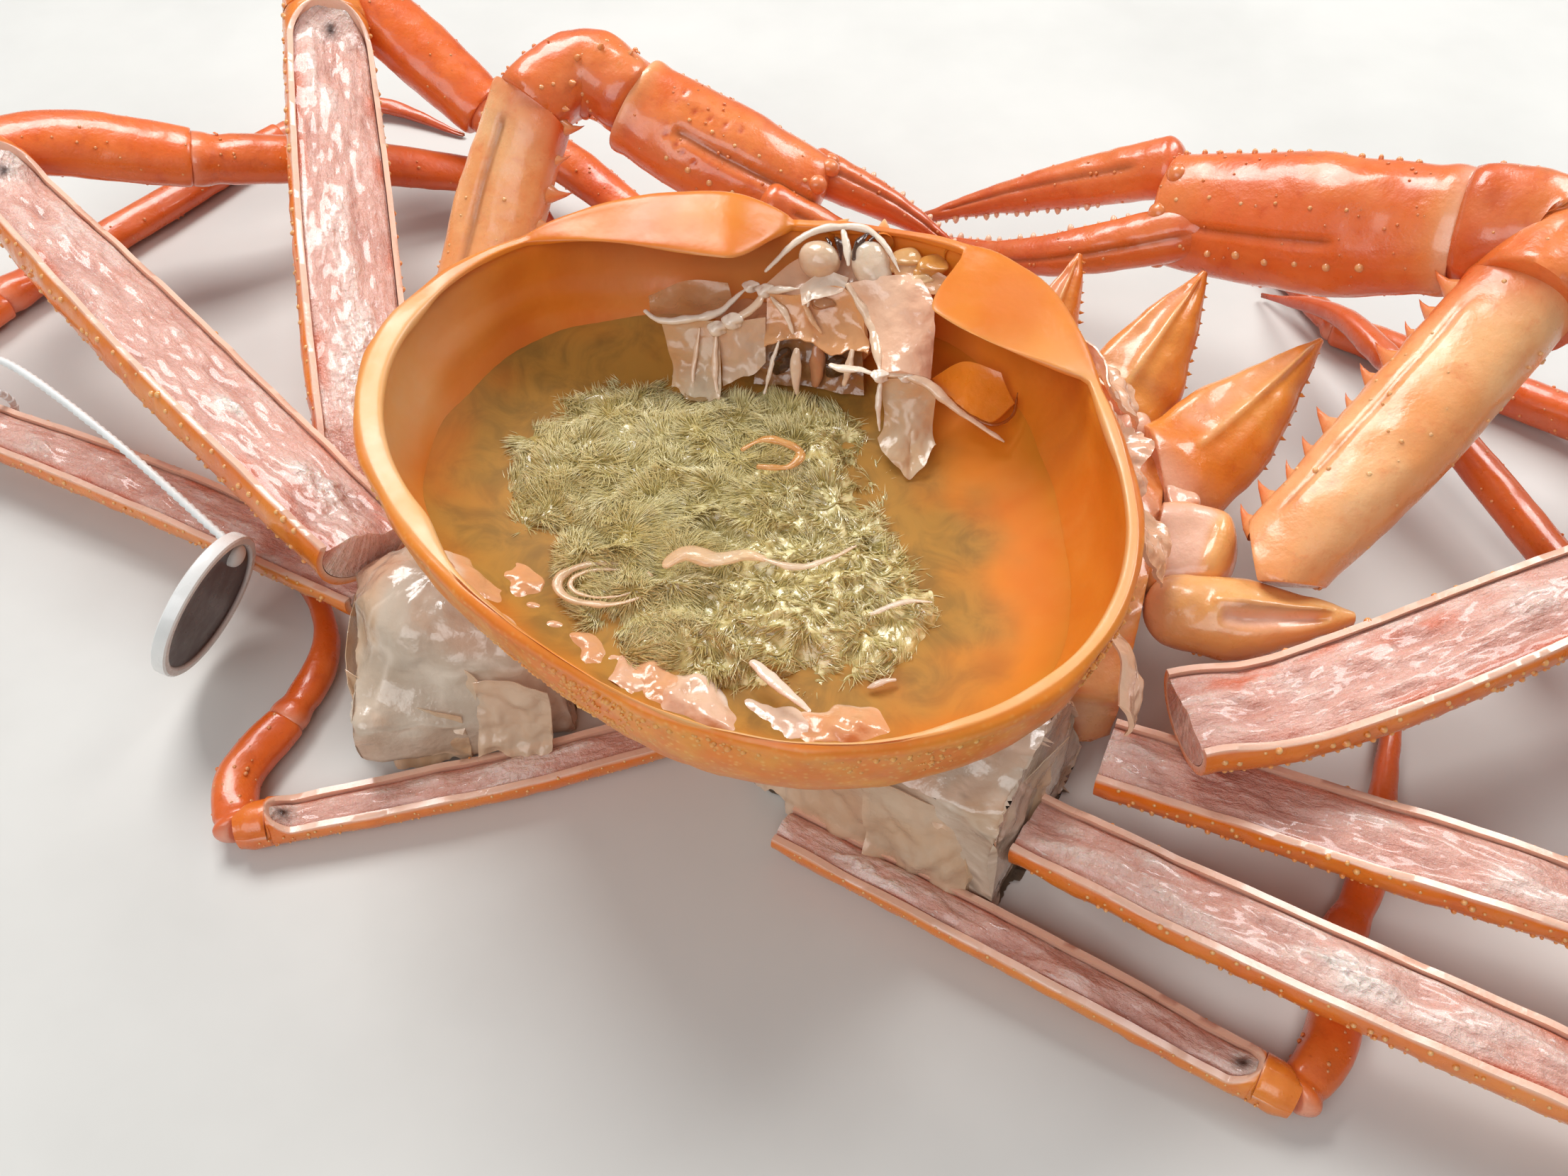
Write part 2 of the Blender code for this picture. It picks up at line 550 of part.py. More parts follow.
LEGS = {
    "leg_left_1": {
        "paths": (((-83, 42, 15), (-97, 106, 33), (-118, 200, 50)),
                  ((-118, 200, 50), (-104, 197, 42), (-76, 179, 25)),
                  ((-76, 179, 25), (-50, 165, 15), (-28, 145, 10)),
                  ((-28, 145, 10), (-13, 129, 6), (-4, 108, 1.2))),
        "widths": ((22, 24, 21), (16, 19, 16), (13, 12, 9), (8, 6, 1.6)), "heights": (17, 18, 16),
        "up": (0.45, 0, 1), "window": 0.9},
    "leg_left_2": {
        "paths": (((-77, 20, 30), (-120, 62, 35), (-190, 133, 42)),
                  ((-190, 133, 42), (-175, 144, 38), (-147, 151, 29)),
                  ((-147, 151, 29), (-113, 163, 20), (-79, 171, 10)),
                  ((-79, 171, 10), (-67, 169, 5), (-57, 158, 1.2))),
        "widths": ((22, 23, 18), (15, 18, 16), (15, 13, 10), (8, 6, 1.6)), "heights": (18, 20, 17),
        "up": (0.3, 0.3, 1), "window": 0.94},
    "leg_left_3": {
        "paths": (((-80.5, 23.1, 13.7), (-138, 54, 10.5), (-197, 81, 9.4)),
                  ((-197, 81, 9.4), (-209, 101, 5), (-198, 124, 5)),
                  ((-198, 124, 5), (-171, 160, 4), (-143, 200, 3.6)),
                  ((-143, 200, 3.6), (-119, 217, 3), (-90, 205, 0.6))),
        "widths": ((15, 15, 12), (12, 13, 12), (10, 10, 8), (7, 5.5, 1.4)), "heights": (11.5, 12, 11),
        "up": (0, 0.1, 1), "window": 0.92},
    "leg_left_4": {
        "paths": (((-14, -6, 5), (-50, -17, 5), (-98, -28, 4)),
                  ((-98, -28, 4), (-101, -17, 3.6), (-95, -4, 3.4)),
                  ((-95, -4, 3.4), (-91, 9, 3), (-92, 20, 2.6), (-98, 31, 2), (-110, 42, 1.2))),
        "widths": ((9.5, 10, 9), (8, 9, 8), (7.5, 7, 5, 3.6, 1.4)), "heights": (9.5, 10, 9),
        "up": (0, 0.1, 1), "window": 0.93},
    "leg_right_1": {
        "paths": (((77, -19, 27.7), (106, -14, 30.5), (186, 18, 36)),
                  ((186, 18, 36), (200, 36, 28), (206, 62, 14)),
                  ((206, 62, 14), (194, 78, 7), (146, 114, 4.2)),
                  ((146, 114, 4.2), (139, 134, 3), (128, 152, 0.6))),
        "widths": ((21, 21, 17), (15, 17, 14), (11, 11, 9), (8, 6, 1.6)), "heights": (17, 18, 16),
        "up": (0, 0.12, 1), "window": 0.93},
    "leg_right_2": {
        "paths": (((65, -19, 15.5), (99, -34, 18.5), (168, -62, 20)),
                  ((168, -62, 20), (180, -42, 17), (177, -14, 13)),
                  ((177, -14, 13), (168, 29, 13), (149, 82, 17)),
                  ((149, 82, 17), (142, 108, 13.5), (131, 131, 1.2))),
        "widths": ((16.5, 17, 14), (12, 13, 11), (9.5, 9, 8), (7.5, 6, 1.4)), "heights": (13.5, 14, 12),
        "up": (0, 0.12, 1), "window": 0.93},
    "leg_right_3": {
        "paths": (((49, -33, 14), (88, -58, 18.5), (162, -94, 14)),
                  ((162, -94, 14), (181, -91, 11), (198, -68, 5)),
                  ((198, -68, 5), (214, -30, 3.4), (222, 14, 3)),
                  ((222, 14, 3), (226, 40, 2.6), (220, 66, 0.6))),
        "widths": ((15, 15.5, 13), (11, 12, 10), (9, 8.5, 7.5), (6.5, 5, 1.4)), "heights": (13, 14, 12),
        "up": (0, 0.12, 1), "window": 0.93},
    "leg_right_4": {
        "paths": (((5, -28, 5), (48, -53, 5), (90, -78, 4)),
                  ((90, -78, 4), (99, -67, 3.6), (104, -51, 3.4)),
                  ((104, -51, 3.4), (114, -36, 3), (124, -12, 2.6), (130, 5, 2), (132, 22, 1.2))),
        "widths": ((9.5, 10, 9), (8, 9, 8), (7.5, 7, 5, 3.6, 1.4)), "heights": (9.5, 10, 9),
        "up": (0, 0.1, 1), "window": 0.93},
}

CLAWS = {
    "claw_right": {
        "merus": ((101, 16, 29), (122, 33, 43), (149, 58, 59)), "merus_size": ((18, 22, 22), (15, 18, 18)),
        "carpus": ((149, 58, 59), (159, 69, 63), (144, 78, 61)), "carpus_size": ((23, 27, 24), (23, 27, 26)),
        "palm": ((144, 78, 61), (122, 94, 51), (93, 115, 40)), "palm_size": ((17, 21, 16), (24, 30, 25)),
        "fixed": ((101, 104, 43), (65, 115, 26), (41, 142, 11)), "fixed_size": ((11, 9, 2), (14, 10, 2)),
        "finger": ((99, 122, 47), (66, 136.5, 29), (39, 144.5, 15)),
        "finger_size": ((12, 9, 1.8), (15, 10, 1.8)),
        "up_arm": (0, 0.2, 1), "up_hand": (0, 0.78, 0.62),
        "spines": 11, "spine_side": 172, "face_side": 180,
        "warts": ((88, (0.12, 0.26, 0.4, 0.54, 0.68)), (176, (0.25, 0.45, 0.62)),
                  (222, (0.2, 0.34, 0.48, 0.62))), "teeth": 6, "bite": 90,
        "butts": (((100.65, 11.4, 29), (-0.1, -0.8, -0.6)), ((99.1, 20, 26.8), (-0.88, 0.1, -0.45)))},
    "claw_left": {
        "merus": ((-71, 107, 15), (-65, 125, 29), (-56, 143, 49)), "merus_size": ((20, 22, 20), (15, 17, 16)),
        "carpus": ((-56, 143, 49), (-44, 152, 52), (-31, 145, 48)), "carpus_size": ((19, 21, 19), (18, 20, 19)),
        "palm": ((-31, 145, 48), (-9, 135, 40), (14, 127, 32)), "palm_size": ((16, 19, 15), (22, 26, 22)),
        "fixed": ((8, 121, 33), (32, 117, 22), (48, 117, 13)), "fixed_size": ((10, 8, 2), (11, 8, 2)),
        "finger": ((10, 135, 38), (33, 130, 28.5), (50.5, 122.5, 19.5)),
        "finger_size": ((10, 8, 1.8), (12, 8, 1.8)),
        "up_arm": (0, -0.3, 1), "up_hand": (0, 0.78, 0.62), "spines": 7, "spine_side": 0, "face_side": 0,
        "warts": ((92, (0.14, 0.28, 0.42, 0.56, 0.7)), (4, (0.3, 0.5, 0.68)), (318, (0.35, 0.55))),
        "teeth": 4, "bite": 270, "butts": (((-73, 101, 12), (-0.2, -0.8, -0.5)),)},
}

LEG_BASES = (((84, 44, 20), (101, 57, 25), (124, 78, 32), 25, (0.99, 0.1, 0)),
             ((77, 64, 20), (87, 76, 30), (99, 91.5, 40), 22, (0.8, 0.6, 0)),
             ((62, 78, 21), (66, 86, 30), (72, 98, 40), 15, (0.35, 0.93, 0)))
CLAW_ROOT = ((78, 20, 0), (0.95, -0.3, 0))
LEFT_CLAW_ROOT = ((-26, 62, 0), (0.85, -0.5, 0))

# Body and flesh: middles, half sizes and the planes that part them
THORAX_AT, THORAX_SIZE = (22, 36, 12), (80, 58, 18)
FLESH_LEFT_AT, FLESH_LEFT_SIZE = (-60, 11, 12), (29, 26, 19)
FLESH_RIGHT_AT, FLESH_RIGHT_SIZE = (34, -24, 13), (40, 21, 20)
LEFT_SPLIT = ((-38, 10, 0), (1, 0.1, 0))
RIGHT_SPLIT = ((30, -9, 0), (0, 1, 0))

# Mouth: the flesh behind it, the arches over it and the eyes
MOUTH_AT, MOUTH_SIZE = (6, 55.2, 56), (20, 8, 6)
ARCHES = (((-20, 57, 56), (-12, 52, 60), (-2, 54, 60)), ((16, 54, 58), (27, 44, 57), (36, 35, 53)),
          ((20, 50, 58), (15, 45, 53), (8, 44, 51)), ((-6, 52, 60), (8, 51, 63), (20, 52, 61)))
EYES = (("eye_left", (12.3, 63.6, 65.5)), ("eye_right", (21.5, 62.0, 65.5)))

# Tag: its middle, radius, the way up its face and the way the face looks
TAG_AT = np.array((-110.3, 13.8, 19.3))
TAG_RADIUS = 15.8
TAG_UP = unit((0.457, 0.696, 0.553))
TAG_FACE = unit((0.913, -0.282, -0.296))
TIE_WIDTH = 1.8


def make_body():
    """The body under the bowl and its flesh at both sides."""
    sockets = [(root, outward) for root, _, _, _, outward in LEG_BASES]
    roots = {}
    for name, row in LEGS.items():
        root, way = np.array(row["paths"][0][0]), unit(np.subtract(*row["paths"][0][1::-1]))
        roots[name] = (root - 1.5 * GAP * way, way)
    ceiling = ((0, 0, BOWL_RIM - BOWL_DEPTH), (0, 0, 1))
    verts, faces = lump_shape(THORAX_AT, THORAX_SIZE, 3, 0.03, 18, 8)
    limits = sockets + [ceiling, behind(LEFT_SPLIT), behind(RIGHT_SPLIT), roots["leg_left_4"], CLAW_ROOT,
                        behind(LEFT_CLAW_ROOT)]
    add("thorax", pressed(verts, limits), faces, ORANGE, 0.4)
    verts, faces = lump_shape(FLESH_LEFT_AT, FLESH_LEFT_SIZE, 5, 0.1, 14, 8, math.radians(20))
    limits = [LEFT_SPLIT, roots["leg_left_2"], roots["leg_left_3"], ((-50, -11.3, 0), (0.2, -0.98, 0)),
              ((-78.5, 8, 0), (-0.98, -0.1, 0))]
    add("flesh_left", under_bowl(pressed(verts, limits)), faces, CLEAR, 0.25)
    verts, faces = lump_shape(FLESH_RIGHT_AT, FLESH_RIGHT_SIZE, 8, 0.1, 14, 8, math.radians(-10))
    limits = [RIGHT_SPLIT, roots["leg_right_2"], roots["leg_right_3"], ((8, -22, 0), (-0.53, -0.848, 0))]
    add("flesh_right", under_bowl(pressed(verts, limits)), faces, CLEAR, 0.25)


def under_bowl(verts):
    """Press flesh down under the bowl where the bowl lies over it."""
    verts = verts.copy()
    off = verts[:, :2] - BOWL_AT
    turn = np.arctan2(off[:, 0], off[:, 1]) - BOWL_TURN
    share = np.clip(np.hypot(off[:, 0], off[:, 1]) / (rim_radius(turn) + 2.5), 0, 1)
    angle = np.arcsin(share ** (BOWL_FULLNESS / 2))
    roof = BOWL_RIM - 1.5 - (BOWL_DEPTH + 0.3) * np.cos(angle) ** (2 / BOWL_FULLNESS)
    verts[:, 2] = np.minimum(verts[:, 2], roof)
    return verts


def make_leg_bases():
    """Three cut leg bases on the right of the body: broad at the joint and pointed where they are cut."""
    for number, (root, middle, tip, wide, outward) in enumerate(LEG_BASES, 1):
        path = np.array((root, middle, tip), float)
        knob = limb_shape(longer(path[:2], 5, 0), (wide * 0.62, wide * 0.75), (13, 13), sides=8, stations=4)
        start = path[1] - (path[2] - path[1]) * 0.3
        blade = limb_shape((start, (start + path[2]) / 2, path[2]), (wide, wide * 0.7, 1.5), (13, 9, 1.5),
                           sides=8, stations=6, ends=(0.7, 0.4))
        fuse(f"leg_base_right_{number}", [blade, knob], ORANGE, [behind((root, outward))])


def make_claw_base():
    """The short joints that carry the claws: a block and a long one with a pointed end on the right."""
    block = limb_shape(((74, 24, 20), (86, 24, 23), (95, 20, 25)), (18, 20, 16), (15, 17, 14), sides=10)
    long = limb_shape(((76, 12, 21), (94, 6.5, 24), (114, 4.5, 27)), (13, 15.5, 2), (12, 14, 3), sides=10,
                      ends=(0.8, 0.4))
    fuse("claw_right_base", [block, long], YELLOW, [behind(CLAW_ROOT)], "MANIFOLD")
    path = ((-22, 60, 13), (-54, 78, 13), (-74, 106, 14))
    verts, faces = limb_shape(path, (22, 20, 18), (18, 17, 15), sides=10)
    planes = [LEFT_CLAW_ROOT, ((-73, 101, 12), (0.2, 0.8, 0.5))]
    add("claw_left_base", pressed(verts, planes), faces, ORANGE)


def make_mouth():
    """Clear arches and skins inside the front of the bowl, and the two eyes among them."""
    shapes = [lump_shape(MOUTH_AT, MOUTH_SIZE, 11, 0.12, 12, 6, -BOWL_TURN)]
    for path in ARCHES:
        shapes.append(limb_shape(path, (3, 4, 2.4), (3, 3, 2.4), sides=5, stations=4))
    fuse("mouth_skins", shapes, CLEAR)
    for name, place in EYES:
        path = np.array(place) + np.array(((-1.5, -5.5, -3), (0, 0, 0), (0.5, 1, 0.3)))
        add(name, *limb_shape(path, (4.4, 6, 6), (4.4, 6, 6), sides=7, stations=3, ends=(0.8, 1)), BLACK, 0.1)


def make_tag():
    """A round tag that stands on its edge against a leg, with its boss and the tie that loops the leg."""
    across = np.cross(TAG_UP, TAG_FACE)
    turn = np.arange(20) * 2 * math.pi / 20
    rings = []
    for share, offset in ((0.84, -0.6), (0.88, -1.5), (1, -1.5), (1, 1.5), (0.88, 1.5), (0.84, 0.6)):
        rings.append(TAG_AT + TAG_FACE * offset
                     + TAG_RADIUS * share * (np.cos(turn)[:, None] * TAG_UP + np.sin(turn)[:, None] * across))
    disc = loft(np.array(rings))
    eye = TAG_AT + TAG_UP * TAG_RADIUS * 0.72
    pin = (eye - TAG_FACE * 2.6, eye, eye + TAG_FACE * 2.6)
    boss = limb_shape(pin, (4.5, 5, 4.5), (4.5, 5, 4.5), TAG_UP, 8, 4)
    leg_row = LEGS["leg_left_3"]
    loop = []
    for degrees in np.linspace(100, 430, 19):
        spot, out, _ = on_limb(leg_row["paths"][0], leg_row["widths"][0], leg_row["heights"], leg_row["up"],
                               0.86, degrees)
        loop.append(spot + out * 2.2)
    start = eye + TAG_UP * 1.5 - TAG_FACE * 0.5
    strap = [start, (-137, 50, 31), (-166, 72, 31), loop[0] + np.array((6, 0, 7))] + loop
    axis = np.subtract(leg_row["paths"][0][2], leg_row["paths"][0][1])
    tie = limb_shape(strap, (TIE_WIDTH,) * 3, (TIE_WIDTH,) * 3, axis, 5, 34)
    fuse("tag", [disc, boss, tie], WHITE, (), "MANIFOLD")


def main():
    """Build every node."""
    clear_scene()
    make_carapace()
    make_insides()
    make_body()
    make_leg_bases()
    make_claw_base()
    make_mouth()
    for name, row in LEGS.items():
        leg(name, row)
    for name, row in CLAWS.items():
        claw(name, row)
    make_tag()


main()
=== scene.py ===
"""Looks of a cooked red snow crab, opened and laid out for serving, around its solid parts.

The carapace lies upturned as a bowl with its broth, its olive insides and the clear skins of the mouth.
Round it lie the two claws, the cut leg bases and the eight legs, slit open over their pink meat.
Lengths are in millimetres until a mesh is made. +X runs to the right of the carapace, +Y away from the
viewer and +Z up, and the floor is z = 0.
"""
import math

import bpy
import numpy as np
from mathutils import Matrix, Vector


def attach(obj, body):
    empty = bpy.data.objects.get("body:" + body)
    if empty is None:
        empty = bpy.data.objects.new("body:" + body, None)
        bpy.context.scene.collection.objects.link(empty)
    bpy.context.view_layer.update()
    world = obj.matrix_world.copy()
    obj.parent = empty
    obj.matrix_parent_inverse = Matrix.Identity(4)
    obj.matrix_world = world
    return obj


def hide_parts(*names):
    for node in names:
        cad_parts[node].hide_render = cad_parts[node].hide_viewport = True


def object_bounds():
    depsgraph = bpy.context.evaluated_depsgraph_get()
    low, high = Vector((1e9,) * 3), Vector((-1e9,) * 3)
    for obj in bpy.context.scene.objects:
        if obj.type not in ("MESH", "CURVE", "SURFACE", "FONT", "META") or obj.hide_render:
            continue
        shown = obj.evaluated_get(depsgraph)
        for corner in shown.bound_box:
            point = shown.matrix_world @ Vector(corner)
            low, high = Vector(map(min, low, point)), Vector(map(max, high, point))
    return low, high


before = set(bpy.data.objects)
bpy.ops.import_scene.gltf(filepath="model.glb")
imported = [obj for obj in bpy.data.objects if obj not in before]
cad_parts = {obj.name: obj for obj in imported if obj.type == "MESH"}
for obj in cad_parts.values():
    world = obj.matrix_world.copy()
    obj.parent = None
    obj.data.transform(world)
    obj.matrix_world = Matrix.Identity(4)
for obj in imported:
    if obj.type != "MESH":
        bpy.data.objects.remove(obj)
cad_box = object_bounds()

MM = 0.001
CENTRE = (6.5, 60.05)
BOX_LOW, BOX_HIGH = np.array(cad_box) / MM
GAP = 0.3
OVERLAP = 0.1

# Carapace: a bowl 140 mm wide, its front turned away and 22 degrees clockwise
BOWL_AT = np.array([-3.0, 15.0])
BOWL_TURN = math.radians(22)
BOWL_RADII = (60, 67, 65, 70.5, 73, 66, 57.5, 56, 63, 70, 66.5, 58.5)
BOWL_DEPTH = 40.0
BOWL_RIM = 68.0
BOWL_WALL = 2.0
BOWL_FULLNESS = 2.25
LIP = 3.0
# Flaps of the lip: where they start, peak and end, their reach, and the rise of their two edges
FLAPS = ((-62, -27, -12, 17.5, 5, 6), (21, 31, 58, 22, 3, 1))
# Front horns: angle, length and radius
HORNS = ((-5, 7, 2.4), (5, 7, 2.4), (-17, 4, 1.8), (17, 4, 1.8), (-27, 3.5, 1.6), (27, 3.5, 1.6))
BROTH_LEVEL = 43.4
FILLET = 6.5

# Olive insides: how far the mass reaches from its middle, each 20 degrees clockwise from the back
MASS_AT = np.array([-6.0, 12.0])
MASS_REACH = (41, 42, 43, 38, 35, 39, 45, 47, 43, 39, 36, 34, 35, 39, 45, 52, 58, 50)
MASS_RISE = 6.4

# Legs: slit shells with meat
SHELL = 1.4
WINDOW_LEVEL = 0.3
MEAT_SUNK = 1.2
# Warts on a leg's long joint: angle, spread, count and radius
LEG_WARTS = ((176, 9, 38, 0.6), (4, 9, 38, 0.6), (205, 12, 50, 0.48), (335, 12, 50, 0.48),
             (270, 60, 90, 0.4))

# The tag beside the third left leg: its profile is shares of its radius and heights over its middle
TAG_AT = np.array((-110.3, 13.8, 19.3))
TAG_RADIUS = 15.8
TAG_PROFILE = ((0.05, 0.6), (0.6, 0.6), (0.83, 0.6), (0.86, 0.75), (0.88, 1.3), (0.9, 1.5), (0.97, 1.5),
               (0.995, 1.2), (1, 0.6))
TIE_WIDTH = 1.7
BEAD = 2.0

# The photograph's view, in pixels, millimetres and degrees, and the lights round the table, in metres
PHOTO_WIDTH = 2212
FOCAL_LENGTH = 1916
SENSOR = 36
CAMERA_AT = (5.1, -152.2, 233.2)
CAMERA_TILT = 38.5
LIGHTS = (("key", (-0.25, 0.5, 0.75), (0, 0, 0.03), (0.5, 0.35), 6.5),
          ("window", (0.45, 0.35, 0.55), (0.02, 0, 0.03), (0.22, 0.4), 2.8),
          ("fill", (-0.3, -0.6, 0.6), (0, 0, 0.02), (0.7, 0.5), 3.2))


def rgb(red, green, blue):
    """A shader colour from values of 0 to 255."""
    return tuple((c / 255) ** 2.2 for c in (red, green, blue)) + (1.0,)


ORANGE = rgb(232, 116, 34)
DEEP = rgb(200, 78, 30)
RED = rgb(172, 56, 28)
AMBER = rgb(226, 132, 42)
BEIGE = rgb(236, 200, 146)
PALE = rgb(246, 206, 140)
EDGE = rgb(240, 196, 172)
BROWN = rgb(128, 62, 24)
MEAT = rgb(226, 176, 160)
MEAT_PALE = rgb(246, 222, 208)
MEAT_RED = rgb(216, 108, 70)
OLIVE_DARK = rgb(150, 128, 64)
OLIVE = rgb(226, 204, 136)
OLIVE_TIP = rgb(248, 236, 180)
SKIN = rgb(253, 206, 150)
WHITE = rgb(236, 236, 232)


def unit(v):
    """Vectors at length 1."""
    v = np.asarray(v, float)
    return v / np.linalg.norm(v, axis=-1, keepdims=True)


def smooth(low, high, x):
    """0 below low, 1 above high and eased between."""
    t = np.clip((np.asarray(x, float) - low) / (high - low), 0, 1)
    return t * t * (3 - 2 * t)


def bell(off, width):
    """1 at 0 and falling off to both sides over a width."""
    return np.exp(-(off / width) ** 2)


def around(angle, middle):
    """How far angles in radians lie from one in degrees, in degrees from -180 to 180."""
    return (np.degrees(angle) - middle + 180) % 360 - 180


def between(first, full, falling, last, x):
    """1 from full to falling and 0 outside first and last."""
    return smooth(first, full, x) * (1 - smooth(falling, last, x))


def full_turn(count):
    """Angles evenly spaced once round."""
    return np.arange(count) * 2 * math.pi / count


def hash_value(cell, seed):
    """A repeatable value from -1 to 1 for whole-number places."""
    n = cell[..., 0] * 73856093 + cell[..., 1] * 19349663 + cell[..., 2] * 83492791 + seed * 26544357
    n = (n ^ (n >> 13)) & 0xFFFFFFF
    n = (n * (n * n % 15731 + 78981) + 1376312) & 0xFFFFFFF
    n = (n ^ (n >> 9)) & 0xFFFFF
    return n / 524287.5 - 1


def noise(places, size, seed=0, octaves=1):
    """Smooth noise from -1 to 1 with features of a size in millimetres."""
    total = 0
    for octave in range(octaves):
        p = np.asarray(places, float) * (2 ** octave / size) + 7.3 * octave
        cell = np.floor(p).astype(np.int64)
        f = p - cell
        f = f * f * (3 - 2 * f)
        layer = 0
        for corner in range(8):
            step = np.array([corner & 1, corner >> 1 & 1, corner >> 2 & 1])
            weight = np.prod(np.where(step, f, 1 - f), axis=-1)
            layer = layer + weight * hash_value(cell + step, seed + octave)
        total = total + layer * 0.5 ** octave
    return total


def ridged(places, size, seed, octaves):
    """Noise folded into sharp ridges, up to 1."""
    return 1 - 2 * abs(noise(places, size, seed, octaves))


def catmull(values, t):
    """Evenly spaced values, eased at places t from 0 to 1."""
    v = np.asarray(values, float)
    ends = np.concatenate([[2 * v[0] - v[1]], v, [2 * v[-1] - v[-2]]])
    x = np.asarray(t, float) * (len(v) - 1)
    i = np.clip(np.floor(x).astype(int), 0, len(v) - 2)
    f = x - i
    if v.ndim > 1:
        f = f[:, None]
    a, b, c, d = ends[i], ends[i + 1], ends[i + 2], ends[i + 3]
    return b + 0.5 * f * (c - a + f * (2 * a - 5 * b + 4 * c - d + f * (3 * b - a - 3 * c + d)))


def path_through(points, at):
    """Places on one smooth curve through the points, at fractions of its length, and that length."""
    dense = catmull(points, np.linspace(0, 1, 25 * len(points)))
    run = np.concatenate([[0], np.cumsum(np.linalg.norm(np.diff(dense, axis=0), axis=1))])
    return np.stack([np.interp(np.asarray(at) * run[-1], run, dense[:, k]) for k in range(3)], 1), run[-1]


def axes_along(places, up):
    """Forward, side and up directions at each place of a path."""
    forward = unit(np.gradient(places, axis=0))
    side = unit(np.cross(forward, up))
    return forward, side, np.cross(side, forward)


def pressed(verts, planes):
    """Press what passes any plane back onto it, a little over it; a plane is a point and a direction."""
    for point, normal in planes:
        normal = unit(normal)
        over = (verts - np.asarray(point, float)) @ normal - OVERLAP
        verts = verts - np.maximum(over, 0)[..., None] * normal
    return verts


def behind(plane):
    """The same plane seen from its other side."""
    return plane[0], -np.asarray(plane[1], float)


def outline(angle, fullness):
    """Points of a unit superellipse at angles, across and up."""
    power = 2 / fullness
    return (np.sign(np.cos(angle)) * abs(np.cos(angle)) ** power,
            np.sign(np.sin(angle)) * abs(np.sin(angle)) ** power)


# Surfaces: points, four-sided faces, three-sided faces and four masks for each point
def surface(verts, quads, tris, tint):
    """One surface, ready to join with others in a piece."""
    return (np.asarray(verts, float).reshape(-1, 3), np.asarray(quads, int).reshape(-1, 4),
            np.asarray(tris, int).reshape(-1, 3), np.asarray(tint, float).reshape(-1, 4))


def quads_over(rows, columns, around=True):
    """Faces of a grid of rows by columns; around closes each row on itself."""
    row = np.arange(rows - 1)[:, None]
    column = np.arange(columns if around else columns - 1)[None]
    after = (column + 1) % columns
    return np.stack([row * columns + column, (row + 1) * columns + column,
                     (row + 1) * columns + after, row * columns + after], -1).reshape(-1, 4)


def normals_of(grid, around=True):
    """Outward directions at a grid's points."""
    down = np.gradient(grid, axis=0)
    along = np.roll(grid, -1, 1) - np.roll(grid, 1, 1) if around else np.gradient(grid, axis=1)
    across = np.cross(down, along)
    return across / np.maximum(np.linalg.norm(across, axis=-1, keepdims=True), 1e-9)


def loft(grid, tint):
    """A closed skin over rings of points, with a fan at each end."""
    rows, columns = grid.shape[:2]
    verts = np.vstack([grid.reshape(-1, 3), grid[0].mean(0), grid[-1].mean(0)])
    first, last = len(verts) - 2, len(verts) - 1
    j = np.arange(columns)
    k = (j + 1) % columns
    tris = np.concatenate([np.stack([np.full(columns, first), j, k], 1),
                           np.stack([np.full(columns, last), (rows - 1) * columns + k,
                                     (rows - 1) * columns + j], 1)])
    tint = np.broadcast_to(tint, (rows, columns, 4))
    tint = np.vstack([tint.reshape(-1, 4), tint[0].mean(0), tint[-1].mean(0)])
    return surface(verts, quads_over(rows, columns), tris, tint)


def two_line_loft(lower, upper, tint_lower, tint_upper):
    """A closed skin over stations that each have a lower and an upper line of points, left to right."""
    grid = np.concatenate([lower, upper[:, ::-1]], axis=1)
    sides = grid.shape[1]
    last = (len(grid) - 1) * sides
    j = np.arange(lower.shape[1] - 1)
    k = sides - 1 - j
    caps = np.concatenate([np.stack([j, j + 1, k - 1, k], 1),
                           np.stack([last + j, last + k, last + k - 1, last + j + 1], 1)])
    tint = np.concatenate([tint_lower, tint_upper[:, ::-1]], axis=1)
    return surface(grid, np.concatenate([quads_over(len(grid), sides), caps]), (), tint)


def masks(*layers):
    """Up to four masks side by side for each point, kept between 0 and 1; a missing one is 0."""
    shape = np.broadcast_shapes(*[np.shape(layer) for layer in layers])
    full = np.zeros(shape + (4,))
    for number, layer in enumerate(layers):
        full[..., number] = np.clip(layer, 0, 1)
    return full


def piece(name, parts, finish, nodes=(), sharp=70, grain=None):
    """One named mesh object from surfaces, which rides with the crab and stands for solid nodes."""
    verts = np.vstack([part[0] for part in parts]) - np.array([CENTRE[0], CENTRE[1], 0])
    verts = np.clip(verts, BOX_LOW, BOX_HIGH)
    faces = []
    start = 0
    for part in parts:
        faces += (part[1] + start).tolist() + (part[2] + start).tolist()
        start += len(part[0])
    mesh = bpy.data.meshes.new(name)
    mesh.from_pydata((verts * MM).tolist(), [], faces)
    colours = mesh.color_attributes.new("tint", "FLOAT_COLOR", "POINT")
    colours.data.foreach_set("color", np.vstack([part[3] for part in parts]).astype(np.float32).ravel())
    if grain is not None:
        corners = np.zeros(len(mesh.loops), np.int32)
        mesh.loops.foreach_get("vertex_index", corners)
        layer = mesh.uv_layers.new(name=grain[0])
        layer.data.foreach_set("uv", grain[1][corners].astype(np.float32).ravel())
    mesh.update()
    mesh.shade_smooth()
    mesh.set_sharp_from_angle(angle=math.radians(sharp))
    mesh.materials.append(finish)
    thing = bpy.data.objects.new(name, mesh)
    bpy.context.scene.collection.objects.link(thing)
    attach(thing, "root")
    if nodes:
        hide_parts(*nodes)
    return thing


